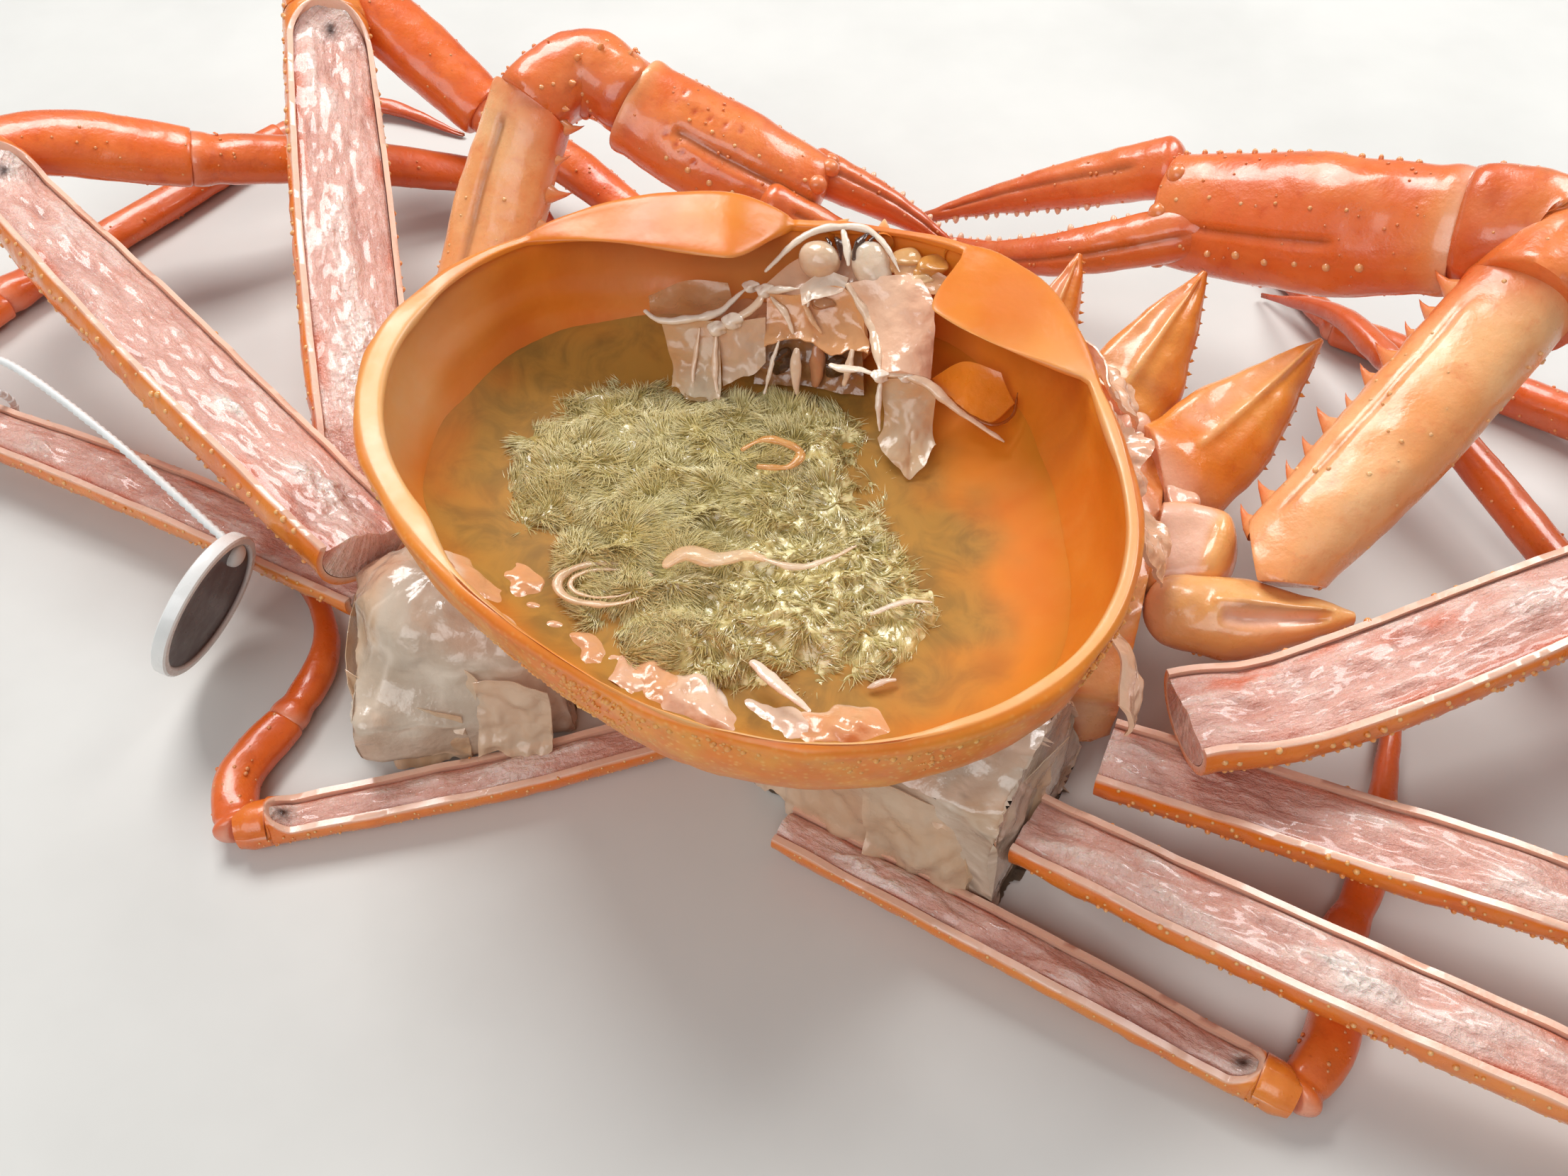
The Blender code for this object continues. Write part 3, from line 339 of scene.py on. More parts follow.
# Shapes of limbs and what grows on them
def limb(points, widths, heights, up=(0, 0, 1), sides=40, stations=60, fullness=2.2, ends=(0.6, 0.6),
         carve=None, paint=(0, 0, 0, 0), lumps=(0.25, 5), planes=(), seed=1):
    """A limb joint with rounded ends. carve gives how far its skin moves out, and paint its masks, at
    fractions of its length and angles round it; paint may also be one set of masks."""
    _, length = path_through(points, [0, 1])
    caps = [ends[0] * widths[0] / 2 / length, ends[1] * widths[-1] / 2 / length]
    turn = np.radians(np.linspace(8, 90, 9))
    middle = np.linspace(caps[0], 1 - caps[1], stations)[1:-1]
    at = np.concatenate([caps[0] * (1 - np.cos(turn)), middle, (1 - caps[1] * (1 - np.cos(turn)))[::-1]])
    scale = np.concatenate([np.sin(turn), np.ones(len(middle)), np.sin(turn)[::-1]])
    places, _ = path_through(points, at)
    _, side, rise = axes_along(places, np.asarray(up, float))
    angle = full_turn(sides)
    across, over = outline(angle, fullness)
    wide = catmull(widths, at) / 2 * scale
    tall = catmull(heights, at) / 2 * scale
    grid = (places[:, None] + side[:, None] * (wide[:, None] * across)[..., None]
            + rise[:, None] * (tall[:, None] * over)[..., None])
    out = normals_of(grid)
    push = noise(grid, lumps[1], seed, 2) * lumps[0] * scale[:, None]
    if carve:
        push = push + carve(at[:, None], angle[None]) * scale[:, None]
    grid = pressed(grid + out * push[..., None], planes)
    return loft(grid, paint(at[:, None], angle[None]) if callable(paint) else paint)


def on_limb(points, widths, heights, up, at, degrees, fullness=2.2):
    """Places on a limb's skin at fractions and angles, with their outward and forward directions."""
    at = np.asarray(at, float)
    places, _ = path_through(points, at)
    forward = unit(path_through(points, np.minimum(at + 0.02, 1))[0]
                   - path_through(points, np.maximum(at - 0.02, 0))[0])
    side = unit(np.cross(forward, up))
    rise = np.cross(side, forward)
    wide = catmull(widths, at)[:, None] / 2
    tall = catmull(heights, at)[:, None] / 2
    a = np.radians(np.broadcast_to(degrees, at.shape))
    across, over = outline(a, fullness)
    spot = places + side * wide * across[:, None] + rise * tall * over[:, None]
    out = unit(side * np.cos(a)[:, None] / wide + rise * np.sin(a)[:, None] / tall)
    return spot, out, forward


# Outlines of warts, teeth and spines: shares of the radius and of the height
DOME = ((1.0, -0.5), (0.95, 0.15), (0.7, 0.65), (0.35, 0.93))
LOW_DOME = ((1.0, -0.5), (0.85, 0.45), (0.45, 0.88))
SPINE = ((1.0, -0.4), (0.72, 0.15), (0.45, 0.5), (0.2, 0.82))
TOOTH = ((1.0, -0.4), (0.95, 0.2), (0.75, 0.6), (0.4, 0.9))
THORN = ((1.25, -0.3), (0.8, 0.12), (0.45, 0.4), (0.2, 0.75))


def warts(spots, out, radius, height, profile=DOME, lean=0.0, tint=(0, 0, 1, 0), sides=8):
    """Many small domes or spines on a surface, each a closed top over a foot sunk in the skin."""
    spots = np.asarray(spots, float).reshape(-1, 3)
    out = unit(np.asarray(out, float).reshape(-1, 3))
    count = len(spots)
    radius = np.broadcast_to(radius, count)[:, None]
    height = np.broadcast_to(height, count)[:, None]
    lean = np.broadcast_to(lean, (count, 3))
    across = unit(np.cross(out, np.where(abs(out[:, 2:]) < 0.9, (0.0, 0.0, 1.0), (1.0, 0.0, 0.0))))
    other = np.cross(out, across)
    turn = full_turn(sides)
    verts = []
    glow = []
    for share, level in profile:
        middle = spots + out * height * level + lean * max(level, 0) ** 2
        ring = (middle[:, None] + across[:, None] * (radius * share * np.cos(turn))[..., None]
                + other[:, None] * (radius * share * np.sin(turn))[..., None])
        verts.append(ring)
        glow.append(np.full((count, sides), np.clip(level + 0.15, 0, 1)))
    verts = np.stack(verts, 1).reshape(count, -1, 3)
    tops = (spots + out * height + lean)[:, None]
    verts = np.concatenate([verts, tops], 1)
    each = verts.shape[1]
    glow = np.concatenate([np.stack(glow, 1).reshape(count, -1), np.ones((count, 1))], 1)
    rows = len(profile)
    quads = quads_over(rows, sides)
    j = np.arange(sides)
    fan = np.stack([(rows - 1) * sides + (j + 1) % sides, (rows - 1) * sides + j,
                    np.full(sides, each - 1)], 1)
    start = np.arange(count)[:, None, None] * each
    quads = (quads[None] + start)[..., ::-1]
    fan = (fan[None] + start)[..., ::-1]
    return surface(verts, quads, fan, glow.reshape(-1, 1) * np.asarray(tint, float))


def scattered(chance, count, at_range, degree_range=(0, 360)):
    """Fractions and angles spread over a patch of a limb without order."""
    return chance.uniform(*at_range, count), chance.uniform(*degree_range, count)


def skin_sheet(edge_a, edge_b, rows=30, columns=24, thick=0.5, ruffle=1.0, ragged=0.0, seed=1, bulge=0.0,
               tint=(0, 0, 0, 0)):
    """A thin skin between two edge curves, ruffled by noise, its far edge torn by ragged millimetres."""
    a, _ = path_through(edge_a, np.linspace(0, 1, rows))
    b, _ = path_through(edge_b, np.linspace(0, 1, rows))
    tear = 1 + ragged * noise(b, 5, seed + 9, 3) / max(np.linalg.norm(b - a, axis=1).mean(), 1)
    b = a + (b - a) * tear[:, None]
    share = np.linspace(0, 1, columns)[None, :, None]
    grid = a[:, None] * (1 - share) + b[:, None] * share
    out = normals_of(grid, False)
    arch = 4 * share * (1 - share)
    grid = grid + out * (ruffle * noise(grid, 5, seed, 3)[..., None] * (0.3 + share) + bulge * arch)
    half = thick / 2 * (1 - 0.6 * abs(2 * share - 1) ** 3)
    out = normals_of(grid, False)
    fill = np.broadcast_to(tint, grid.shape[:2] + (4,))
    return two_line_loft(grid + out * half, grid - out * half, fill, fill)


def strand(points, width, sides, stations, seed, tint, flat):
    """A soft cord of flesh through points, thin at its ends."""
    widths = (width * 0.4, width, width * 0.8, width * 0.35)
    heights = [w * flat for w in widths]
    return limb(points, widths, heights, (0, 0.3, 1), sides, stations, 2, (0.9, 0.9), None, tint,
                (width * 0.12, width * 1.2), (), seed)


def lump(middle, size, seed, rough=0.12, columns=72, rows=40, turned=0.0, fine=0.0):
    """A rounded, uneven lump of flesh as a grid of points."""
    chance = np.random.default_rng(seed)
    phase = chance.uniform(0, 2 * math.pi, 6)
    row = np.linspace(0.05, math.pi - 0.05, rows)[:, None]
    a = full_turn(columns)[None]
    way = np.stack([np.sin(row) * np.cos(a), -np.sin(row) * np.sin(a), -np.cos(row) + 0 * a], -1)
    swell = 1 + rough * (np.sin(3 * way[..., 0] + phase[0]) * np.sin(4 * way[..., 1] + phase[1])
                         + 0.7 * np.sin(5 * way[..., 2] + phase[2] + 3 * way[..., 0]))
    grid = np.sign(way) * abs(way) ** 0.8 * swell[..., None] * np.asarray(size, float)
    cos, sin = math.cos(turned), math.sin(turned)
    grid = np.stack([grid[..., 0] * cos - grid[..., 1] * sin, grid[..., 0] * sin + grid[..., 1] * cos,
                     grid[..., 2]], -1) + np.asarray(middle, float)
    if fine:
        grid = grid + normals_of(grid) * (fine * noise(grid, 6, seed, 3))[..., None]
    return grid


# Finishes
class Graph:
    """A Principled finish whose colour, gloss and relief come from nodes."""

    def __init__(self, name):
        self.finish = bpy.data.materials.new(name)
        self.finish.use_nodes = True
        self.tree = self.finish.node_tree
        self.place = self.node("TexCoord").outputs["Object"]
        tint = self.node("Attribute")
        tint.attribute_name = "tint"
        split = self.node("SeparateColor", Color=tint.outputs["Color"])
        self.masks = [*split.outputs, tint.outputs["Alpha"]]
        self.normal = None

    def put(self, socket, value):
        """Give a socket its value, or join it to the output that makes it."""
        if isinstance(value, bpy.types.NodeSocket):
            self.tree.links.new(value, socket)
        else:
            socket.default_value = value

    def node(self, kind, **inputs):
        """A new node with its inputs; an underscore in a name stands for a space."""
        made = self.tree.nodes.new("ShaderNode" + kind)
        for name, value in inputs.items():
            self.put(made.inputs[name.replace("_", " ")], value)
        return made

    def noise(self, size, detail=3, rough=0.55, place=None, warp=0.0):
        """Noise with features of a size in millimetres, from 0 to 1."""
        return self.node("TexNoise", Vector=place or self.place, Scale=1 / (size * MM), Detail=detail,
                         Roughness=rough, Distortion=warp).outputs["Fac"]

    def cells(self, size):
        """Distance to scattered points about a size in millimetres apart."""
        return self.node("TexVoronoi", Vector=self.place, Scale=1 / (size * MM)).outputs["Distance"]

    def grain(self, name, along, across):
        """A place that follows a UV map in millimetres, so that noise on it runs in fibres."""
        layer = self.node("UVMap")
        layer.uv_map = name
        scale = (MM / across, MM / along, 1)
        return self.node("Mapping", Vector=layer.outputs["UV"], Scale=scale).outputs["Vector"]

    def span(self, value, low, high, to_low=0.0, to_high=1.0):
        """A value stretched from one range to another."""
        made = self.node("MapRange", Value=value, From_Min=low, From_Max=high, To_Min=to_low,
                         To_Max=to_high)
        made.interpolation_type = "SMOOTHSTEP"
        return made.outputs["Result"]

    def uneven(self, size, detail, low, high):
        """A value that noise moves between two others."""
        return self.span(self.noise(size, detail), 0.3, 0.7, low, high)

    def mix(self, share, first, second):
        """Two colours mixed by a share."""
        made = self.node("Mix", Factor=share)
        made.data_type = "RGBA"
        for name, colour in (("A", first), ("B", second)):
            self.put(next(s for s in made.inputs if s.name == name and s.type == "RGBA"), colour)
        return next(s for s in made.outputs if s.type == "RGBA")

    def cloud(self, colour, other, size, detail, low, high, most=1.0, rough=0.55, warp=0.0):
        """A colour with clouds of another in it, where noise lies between low and high."""
        share = self.span(self.noise(size, detail, rough, None, warp), low, high, 0, most)
        return self.mix(share, colour, other)

    def painted(self, colour, *coats):
        """A colour under coats, each the number of its mask and its colour."""
        for number, coat in coats:
            colour = self.mix(self.masks[number], colour, coat)
        return colour

    def bump(self, height, depth, share=1.0):
        """Add relief of a depth in millimetres, where a share says so."""
        made = self.node("Bump", Distance=depth * MM, Strength=share, Height=height)
        if self.normal:
            self.put(made.inputs["Normal"], self.normal)
        self.normal = made.outputs["Normal"]

    def done(self, colour, rough, coat, coat_rough, under=0.0, reach=(3, 1, 0.5), alpha=1.0, shine=0.5):
        """Join everything to the shader. rough is a value or a socket; under is how much light goes in."""
        inputs = {"Base Color": colour, "Roughness": rough, "Coat Weight": coat,
                  "Coat Roughness": coat_rough,
                  "Subsurface Weight": under, "Subsurface Radius": reach, "Subsurface Scale": MM,
                  "Alpha": alpha, "Specular IOR Level": shine, "Normal": self.normal}
        for name, value in inputs.items():
            self.put(self.tree.nodes["Principled BSDF"].inputs[name], value)
        return self.finish


def shell_finish(name, main, low, deep, gloss):
    """Cooked shell: masks are pale cut edge, deep red, pale wart, and brown for tips and stains and for
    painted shade in slots and grooves.
    """
    g = Graph(name)
    colour = g.cloud(main, low, 22, 4, 0.35, 0.68)
    colour = g.cloud(colour, deep, 5, 5, 0.5, 0.78, 0.4, 0.65)
    colour = g.cloud(colour, deep, 1.1, 2, 0.66, 0.8, 0.35)
    colour = g.painted(colour, (1, deep), (2, PALE), (0, EDGE), (3, BROWN))
    g.bump(g.noise(0.9, 3, 0.6), 0.08)
    g.bump(g.noise(3.2, 3), 0.2)
    return g.done(colour, g.uneven(3.5, 4, 0.24, 0.44), gloss, 0.12, 0.12)


def amber(g):
    """Cloudy amber, the same on the carapace and on the broth over it."""
    colour = g.cloud(AMBER, rgb(214, 112, 32), 34, 3, 0.36, 0.66, 1.0, 0.5, 0.4)
    return g.cloud(colour, rgb(230, 150, 70), 11, 4, 0.48, 0.8, 0.3)


def bowl_finish():
    """The carapace: amber inside; masks are beige lip, granular outside, pale granule and painted flap-edge
    highlight, and brown patches and painted shade.
    """
    g = Graph("carapace_shell")
    outer = g.cloud(rgb(230, 124, 40), rgb(238, 154, 62), 9, 4, 0.35, 0.7)
    outer = g.mix(g.span(g.cells(1.3), 0.0, 0.42, 0.6, 0), outer, rgb(246, 190, 112))
    lip = g.cloud(BEIGE, rgb(236, 190, 128), 8, 3, 0.3, 0.7)
    # The last coat is the brown of the front patches and the painted shade under the flaps.
    colour = g.painted(amber(g), (1, outer), (0, lip), (2, PALE), (3, rgb(172, 84, 38)))
    g.bump(g.noise(1.0, 3), 0.03)
    g.bump(g.noise(9, 3), 0.35)
    return g.done(colour, g.uneven(8, 4, 0.28, 0.45), 0.2, 0.25, 0.2, shine=0.35)


def meat_finish():
    """Leg meat: wet, clear and pink; masks are red margin, pale torn flesh, painted shade in hollows and the
    painted shade of a hole.
    """
    g = Graph("leg_meat")
    grain_and_painted_glints = g.noise(1, 3, 0.6, g.grain("grain", 3.4, 0.8), 0.6)
    colour = g.cloud(MEAT, rgb(216, 158, 140), 7, 4, 0.36, 0.7, 1.0, 0.6)
    colour = g.cloud(colour, MEAT_PALE, 3.4, 4, 0.54, 0.76, 0.4, 0.6, 0.5)
    # Painted glints: short white dashes along the grain; the same noise also gives the grain its relief.
    colour = g.mix(g.span(grain_and_painted_glints, 0.62, 0.72, 0, 0.7), colour, rgb(250, 234, 226))
    colour = g.painted(colour, (0, MEAT_RED), (1, rgb(244, 226, 214)), (2, rgb(184, 116, 98)),
                       (3, rgb(50, 26, 20)))
    g.bump(grain_and_painted_glints, 0.5)
    g.bump(g.noise(2.2, 4, 0.65), 0.8)
    g.bump(g.cells(1.5), 0.9, g.masks[1])
    return g.done(colour, g.uneven(2.4, 3, 0.16, 0.34), 0.6, 0.08, 0.35, (4, 1.6, 1.0))


def clear_finish(name, main, pale, dark, alpha=1.0, under=0.0):
    """Clear wet flesh and skins; masks are pink, white fold, yellow, and dark for stains and eye bands and
    for painted shade in hollows.
    """
    g = Graph(name)
    colour = g.cloud(main, pale, 12, 4, 0.36, 0.68, warp=0.5)
    colour = g.cloud(colour, dark, 16, 3, 0.48, 0.78, 0.6)
    colour = g.painted(colour, (0, rgb(240, 158, 110)), (2, rgb(226, 152, 72)), (1, rgb(252, 234, 212)),
                       (3, rgb(70, 42, 26)))
    g.bump(g.noise(2.6, 3), 0.3)
    g.bump(g.noise(8, 3), 0.6)
    return g.done(colour, g.uneven(5, 3, 0.1, 0.28), 0.7, 0.05, under, (4, 3, 2.2), alpha)


def olive_finish(name, gloss):
    """The olive insides: masks are height up a tuft and its own shade."""
    g = Graph(name)
    colour = g.mix(g.masks[0], OLIVE_DARK, OLIVE)
    colour = g.mix(g.span(g.masks[0], 0.45, 1.0), colour, OLIVE_TIP)
    colour = g.mix(g.masks[1], colour, rgb(166, 146, 80))
    colour = g.cloud(colour, rgb(204, 180, 102), 12, 3, 0.42, 0.7, 0.4)
    g.bump(g.noise(1.0, 3, 0.6), 0.3)
    return g.done(colour, 0.3, gloss, 0.06, 0.1)


def broth_finish():
    """Clear broth over the amber shell: masks are murk by the mass and, as the last, a brown painted shadow
    in front.
    """
    g = Graph("broth")
    murk = g.cloud(rgb(176, 130, 62), rgb(140, 108, 56), 9, 4, 0.35, 0.7, 1.0, 0.6, 1.0)
    colour = g.painted(amber(g), (0, murk), (3, rgb(150, 80, 36)))
    g.bump(g.noise(11, 2), 0.2)
    return g.done(colour, 0.5, 0.0, 0.1, 0.2, shine=0.12)


def plain_finish(name, first, second, size, rough, coat):
    """A made surface with faint cloudy wear; its mask is a dark face."""
    g = Graph(name)
    colour = g.cloud(first, second, size, 5, 0.3, 0.75, 1.0, 0.6)
    colour = g.mix(g.masks[0], colour, rgb(64, 36, 28))
    g.bump(g.noise(size * 0.3, 3), 0.03)
    return g.done(colour, g.uneven(size * 0.6, 4, rough * 0.8, rough * 1.3), coat, 0.08)


# The bowl
def rim_radius(turn):
    """How far the bowl's rim lies from its middle, at angles clockwise from the front."""
    waves = np.fft.rfft(BOWL_RADII) / len(BOWL_RADII)
    total = waves[0].real + waves[-1].real * np.cos((len(waves) - 1) * turn)
    for k in range(1, len(waves) - 1):
        total = total + 2 * (waves[k].real * np.cos(k * turn) - waves[k].imag * np.sin(k * turn))
    return total


def bowl_place(turn, out, height):
    """Places at angles clockwise from the front, distances from the middle and heights."""
    way = BOWL_TURN + turn
    out, height, way = np.broadcast_arrays(out, height, way)
    return np.stack([BOWL_AT[0] + out * np.sin(way), BOWL_AT[1] + out * np.cos(way), height], -1)


def wall_profile(turn, fraction, inset=0.0):
    """Distance and height of the wall, 0 at its bottom and 1 at its rim, inset from its outer face."""
    angle = np.asarray(fraction) * math.pi / 2
    power = 2 / BOWL_FULLNESS
    out = (rim_radius(turn) - inset) * np.sin(angle) ** power
    height = BOWL_RIM - (BOWL_DEPTH - inset) * np.cos(angle) ** power
    return out, height + 0 * out


def wall_radius_at(turn, height, inset):
    """How far the wall lies from the bowl's middle at a height."""
    power = 2 / BOWL_FULLNESS
    share = np.clip((BOWL_RIM - height) / (BOWL_DEPTH - inset), 0, 1)
    angle = np.arccos(share ** (1 / power))
    return (rim_radius(turn) - inset) * np.sin(angle) ** power


def flap_at(turn):
    """Width of the folded lip at angles, and the lift of its free and outer edges, in two lobes."""
    angle = np.degrees(turn)
    wide = np.full(np.shape(turn), LIP)
    lift = np.zeros(np.shape(turn))
    edge = np.zeros(np.shape(turn))
    for start, peak, end, reach, rise, edge_rise in FLAPS:
        off = np.clip((angle - peak) / (np.where(angle > peak, end, start) - peak), 0, 1)
        lobe = np.cos(off * math.pi / 2) ** 0.8
        wide = wide + (reach - LIP) * lobe
        lift = lift + rise * lobe
        edge = edge + edge_rise * lobe
    return wide, lift, edge


def make_carapace():
    """The upturned carapace: a bowl with a rolled lip, two flaps, granules and front horns."""
    turn = np.radians(np.arange(-180, 180, 1.2))
    wide, lift, raised = flap_at(turn)
    world = np.degrees(turn + BOWL_TURN) % 360
    left = between(205, 235, 292, 318, world)
    right = between(60, 90, 180, 205, world)
    ahead = between(140, 170, 225, 250, world)
    wide = wide + 2.0 * left * (1 - ahead) - 1.9 * ahead
    rim = rim_radius(turn)
    low = np.linspace(0.03, 0.95, 44)[:, None]
    outer = bowl_place(turn, *wall_profile(turn, low))
    inner = bowl_place(turn, *wall_profile(turn, low[::-1] * 0.93, BOWL_WALL))
    first = np.stack(wall_profile(turn, 0.97), -1)
    last = np.stack(wall_profile(turn, 0.9, BOWL_WALL), -1)
    curl = 0.9 * smooth(8, 18, wide)
    middle = (raised + lift) / 2
    dip = 0.8 * smooth(6, 16, wide)
    corners = ((0.3, raised * 0.5), (-0.7, 1.0 + raised),
               (-wide * 0.3 - 0.3, 1.1 + middle * 0.4 + raised * 0.6 - dip * 0.6),
               (-wide * 0.65 - 0.2, 1.0 + middle - dip),
               (-wide + 0.5, 0.7 + lift - curl),
               (-wide + 0.3, -0.1 + lift - curl),
               (-wide * 0.6 - 0.6, -0.3 + middle - dip),
               (-wide * 0.2 - 1.3, -0.6 + raised * 0.8 - dip * 0.3),
               (-BOWL_WALL - 0.4, -2.6 + raised * 0.4))
    bend = np.stack([first, *(np.stack([rim + out, BOWL_RIM + up], -1) for out, up in corners), last])
    at = np.linspace(0, 1, 42)[1:-1]
    fold = np.stack([catmull(bend[:, i], at) for i in range(len(turn))], 1)
    fold = bowl_place(turn, fold[..., 0], fold[..., 1])
    grid = np.concatenate([outer, fold, inner])
    row = np.arange(len(grid))[:, None]
    out = normals_of(grid)
    is_outer = 1 - smooth(44, 52, row)
    is_fold = between(40, 48, 76, 86, row)
    is_inner = smooth(62, 80, row)
    swell = noise(grid, 24, 5, 3) * 1.1 * is_outer * smooth(0, 12, row)
    waves = noise(grid, 19, 8, 2) * 0.5 * is_inner * (1 - is_fold)
    wavy_lip = noise(grid, 13, 4, 2) * 0.45 * is_fold
    fine = noise(grid, 1.6, 3) * 0.14 * is_outer
    crease_row = 93 + 5 * np.sin(np.radians(world) * 2) + 2 * noise(grid[90:91], 15, 6)
    crease = bell(row - crease_row, 2.0) * between(270, 300, 345, 355, world)
    grid = grid + out * (np.minimum(swell, 0.4) + waves + wavy_lip + fine + 0.8 * crease)[..., None]
    band = smooth(48, 55, row) * (1 - smooth(84, 96, row + 3 * noise(grid, 9, 2)))
    thin_band = between(50, 56, 60, 72, row)
    veil = smooth(322, 340, world) + 1 - smooth(10, 30, world)
    veil = veil * (1 - smooth(80, 112, row)) * smooth(74, 84, row)
    lips = left * band * 0.6 + right * thin_band * 0.55 + 0.25 * np.clip(veil, 0, 1)
    front = between(150, 175, 215, 235, world) * smooth(78, 90, row)
    # Brown patches on the front's inner side.
    front_brown = front * smooth(0.1, 0.6, noise(grid, 12, 12, 2)) * 0.4
    # Painted shade under the fold of the flaps, in the same brown.
    shade = 0.4 * between(72, 78, 80, 92, row) * smooth(3.5, 9, wide)[None]
    # A painted highlight: a pale line along the free edge of each flap.
    flap_edge_highlight = bell(row - 66, 1.6) * smooth(10, 16, wide) * 0.35
    parts = [loft(grid, masks(lips, is_outer, flap_edge_highlight, front_brown + shade))]

    chance = np.random.default_rng(17)
    count = 1500
    spot_turn = np.radians(chance.uniform(100, 262, count))
    level = chance.uniform(0.72, 0.985, count) ** 0.8
    parts.append(granules(spot_turn, level, chance.uniform(0.22, 0.5, count)))
    count = 600
    spot_turn = np.radians(chance.uniform(0, 360, count))
    parts.append(granules(spot_turn, chance.uniform(0.25, 0.97, count), chance.uniform(0.3, 0.6, count)))
    spot_turn = np.radians(np.arange(96, 266, 2.0))
    parts.append(granules(spot_turn, 0.975 + 0 * spot_turn, 0.55 + 0.15 * np.sin(spot_turn * 37), 1.0))
    for degrees, length, radius in HORNS:
        angle = math.radians(degrees)
        foot = bowl_place(angle, rim_radius(angle) - 0.5, BOWL_RIM - 1.8)
        way = unit(bowl_place(angle * 0.4, rim_radius(angle) + 9, BOWL_RIM - 2.8) - foot)
        parts.append(warts(foot, way, radius, length, SPINE, 0.0, (0, 0, 0.5, 0), 20))
    piece("carapace_shell", parts, bowl_finish(), ("carapace",))


def granules(turn, level, size, height=0.7):
    """Warts on the bowl's outer face, at angles from its front and fractions of its wall."""
    spot = bowl_place(turn, *wall_profile(turn, level))
    nearer = bowl_place(turn, *wall_profile(turn, level - 0.02))
    beside = bowl_place(turn + 0.02, *wall_profile(turn + 0.02, level))
    out = unit(np.cross(spot - nearer, beside - spot))
    return warts(spot - 0.1 * out, out, size, size * height, LOW_DOME, 0.0, (0, 0.9, 0.35, 0), 6)


# What the bowl holds
def mass_reach(angle):
    """How far the olive mass reaches at angles clockwise from the back."""
    x = (np.degrees(angle) % 360) / 20
    table = np.array(MASS_REACH, float)
    i = np.floor(x).astype(int)
    f = x - i
    f = f * f * (3 - 2 * f)
    return table[i % 18] * (1 - f) + table[(i + 1) % 18] * f


def mass_height(x, y):
    """Height of the mass above the broth at places, and its share of the way out to its edge."""
    dx, dy = x - MASS_AT[0], y - MASS_AT[1]
    angle = np.arctan2(dx, dy)
    flat = np.stack([x, y, 0 * x], -1)
    reach = mass_reach(angle) + 2.2 * noise(flat, 7, 31, 2)
    share = np.hypot(dx, dy) / reach
    dome = 1 - smooth(0.45, 1.05, share) * 1.25
    folds = ridged(flat + 3 * noise(flat, 9, 44)[..., None], 8.5, 41, 2)
    wet_folds = ridged(flat + 2 * noise(flat, 6, 45)[..., None], 4.2, 46, 1) * wetness(x, y)
    lumps = noise(flat, 15, 21, 2) * 1.3 + folds * 1.1 + noise(flat, 3.4, 23, 2) * 0.45 + 0.8 * wet_folds
    height = dome * MASS_RISE * 0.62 + lumps * smooth(1.05, 0.8, share)
    return np.minimum(height, MASS_RISE + 1.2), share


def wetness(x, y):
    """How wet the mass is: dry wool on the left, wet folds on the right and in front."""
    return smooth(-10, 6, x + 0.35 * (12 - y) + 5 * noise(np.stack([x, y, 0 * x], -1), 12, 77))


def make_insides():
    """The broth, the olive mass in it, its fine filaments and its wet ridges."""
    turn = np.radians(np.arange(-180, 180, 3.0))
    inset = BOWL_WALL - GAP
    low = bowl_place(turn, *wall_profile(turn, np.linspace(0.05, 0.56, 14)[:, None], inset + 2 * GAP))
    share = np.linspace(1, 0.02, 70)[:, None]
    rising = np.clip((share - 0.66) / 0.34, 0, 1)
    flat_edge = 0.66 * wall_radius_at(turn, BROTH_LEVEL, inset)
    edge = wall_radius_at(turn, BROTH_LEVEL + FILLET, inset)
    radius = np.where(share > 0.66, flat_edge + (edge - flat_edge) * rising, flat_edge * share / 0.66)
    top = bowl_place(turn, radius, BROTH_LEVEL + FILLET * rising ** 2.6 + 0 * turn)
    top[..., 2] += 0.12 * noise(top, 11, 61, 2) * smooth(1, 0.95, share)
    rings = np.concatenate([low, top])
    _, away = mass_height(rings[..., 0], rings[..., 1])
    murk = 0.95 - smooth(0.98, 1.5, away + 0.14 * noise(rings, 10, 66, 2))
    # Painted shadow: brown over the broth at the front right.
    front = smooth(10, -25, rings[..., 1]) * smooth(10, 30, rings[..., 0])
    front = front * smooth(0.0, 0.5, noise(rings, 10, 9)) * 0.5
    piece("broth", [loft(rings, masks(murk, 0, 0, front))], broth_finish(), ("insides",))

    angle = np.radians(np.arange(0, 360, 1.5))
    share = np.linspace(1.1, 0.01, 100)[:, None]
    reach = mass_reach(angle)
    x = MASS_AT[0] + reach * share * np.sin(angle)
    y = MASS_AT[1] + reach * share * np.cos(angle)
    height, _ = mass_height(x, y)
    top = np.stack([x, y, BROTH_LEVEL - 0.4 + height], -1)
    base = top[:1].copy()
    base[..., 2] = BROTH_LEVEL - 3
    grid = np.concatenate([base, top])
    dry = 1 - wetness(grid[..., 0], grid[..., 1])
    grain = noise(grid, 1.2, 71, 2)
    grid[1:-1, :, 2] += (0.3 * grain)[1:-1]
    piece("olive_mass", [loft(grid, masks(0.55 + 0.5 * grain - 0.3 * dry, 0.3 * dry))],
          olive_finish("olive_wet", 0.9))
    make_filaments("olive_wool_1", 17500, 5, False)
    make_filaments("olive_wool_2", 17500, 7, False)
    make_filaments("olive_wet_filaments", 11000, 6, True)
    make_wet_ridges()


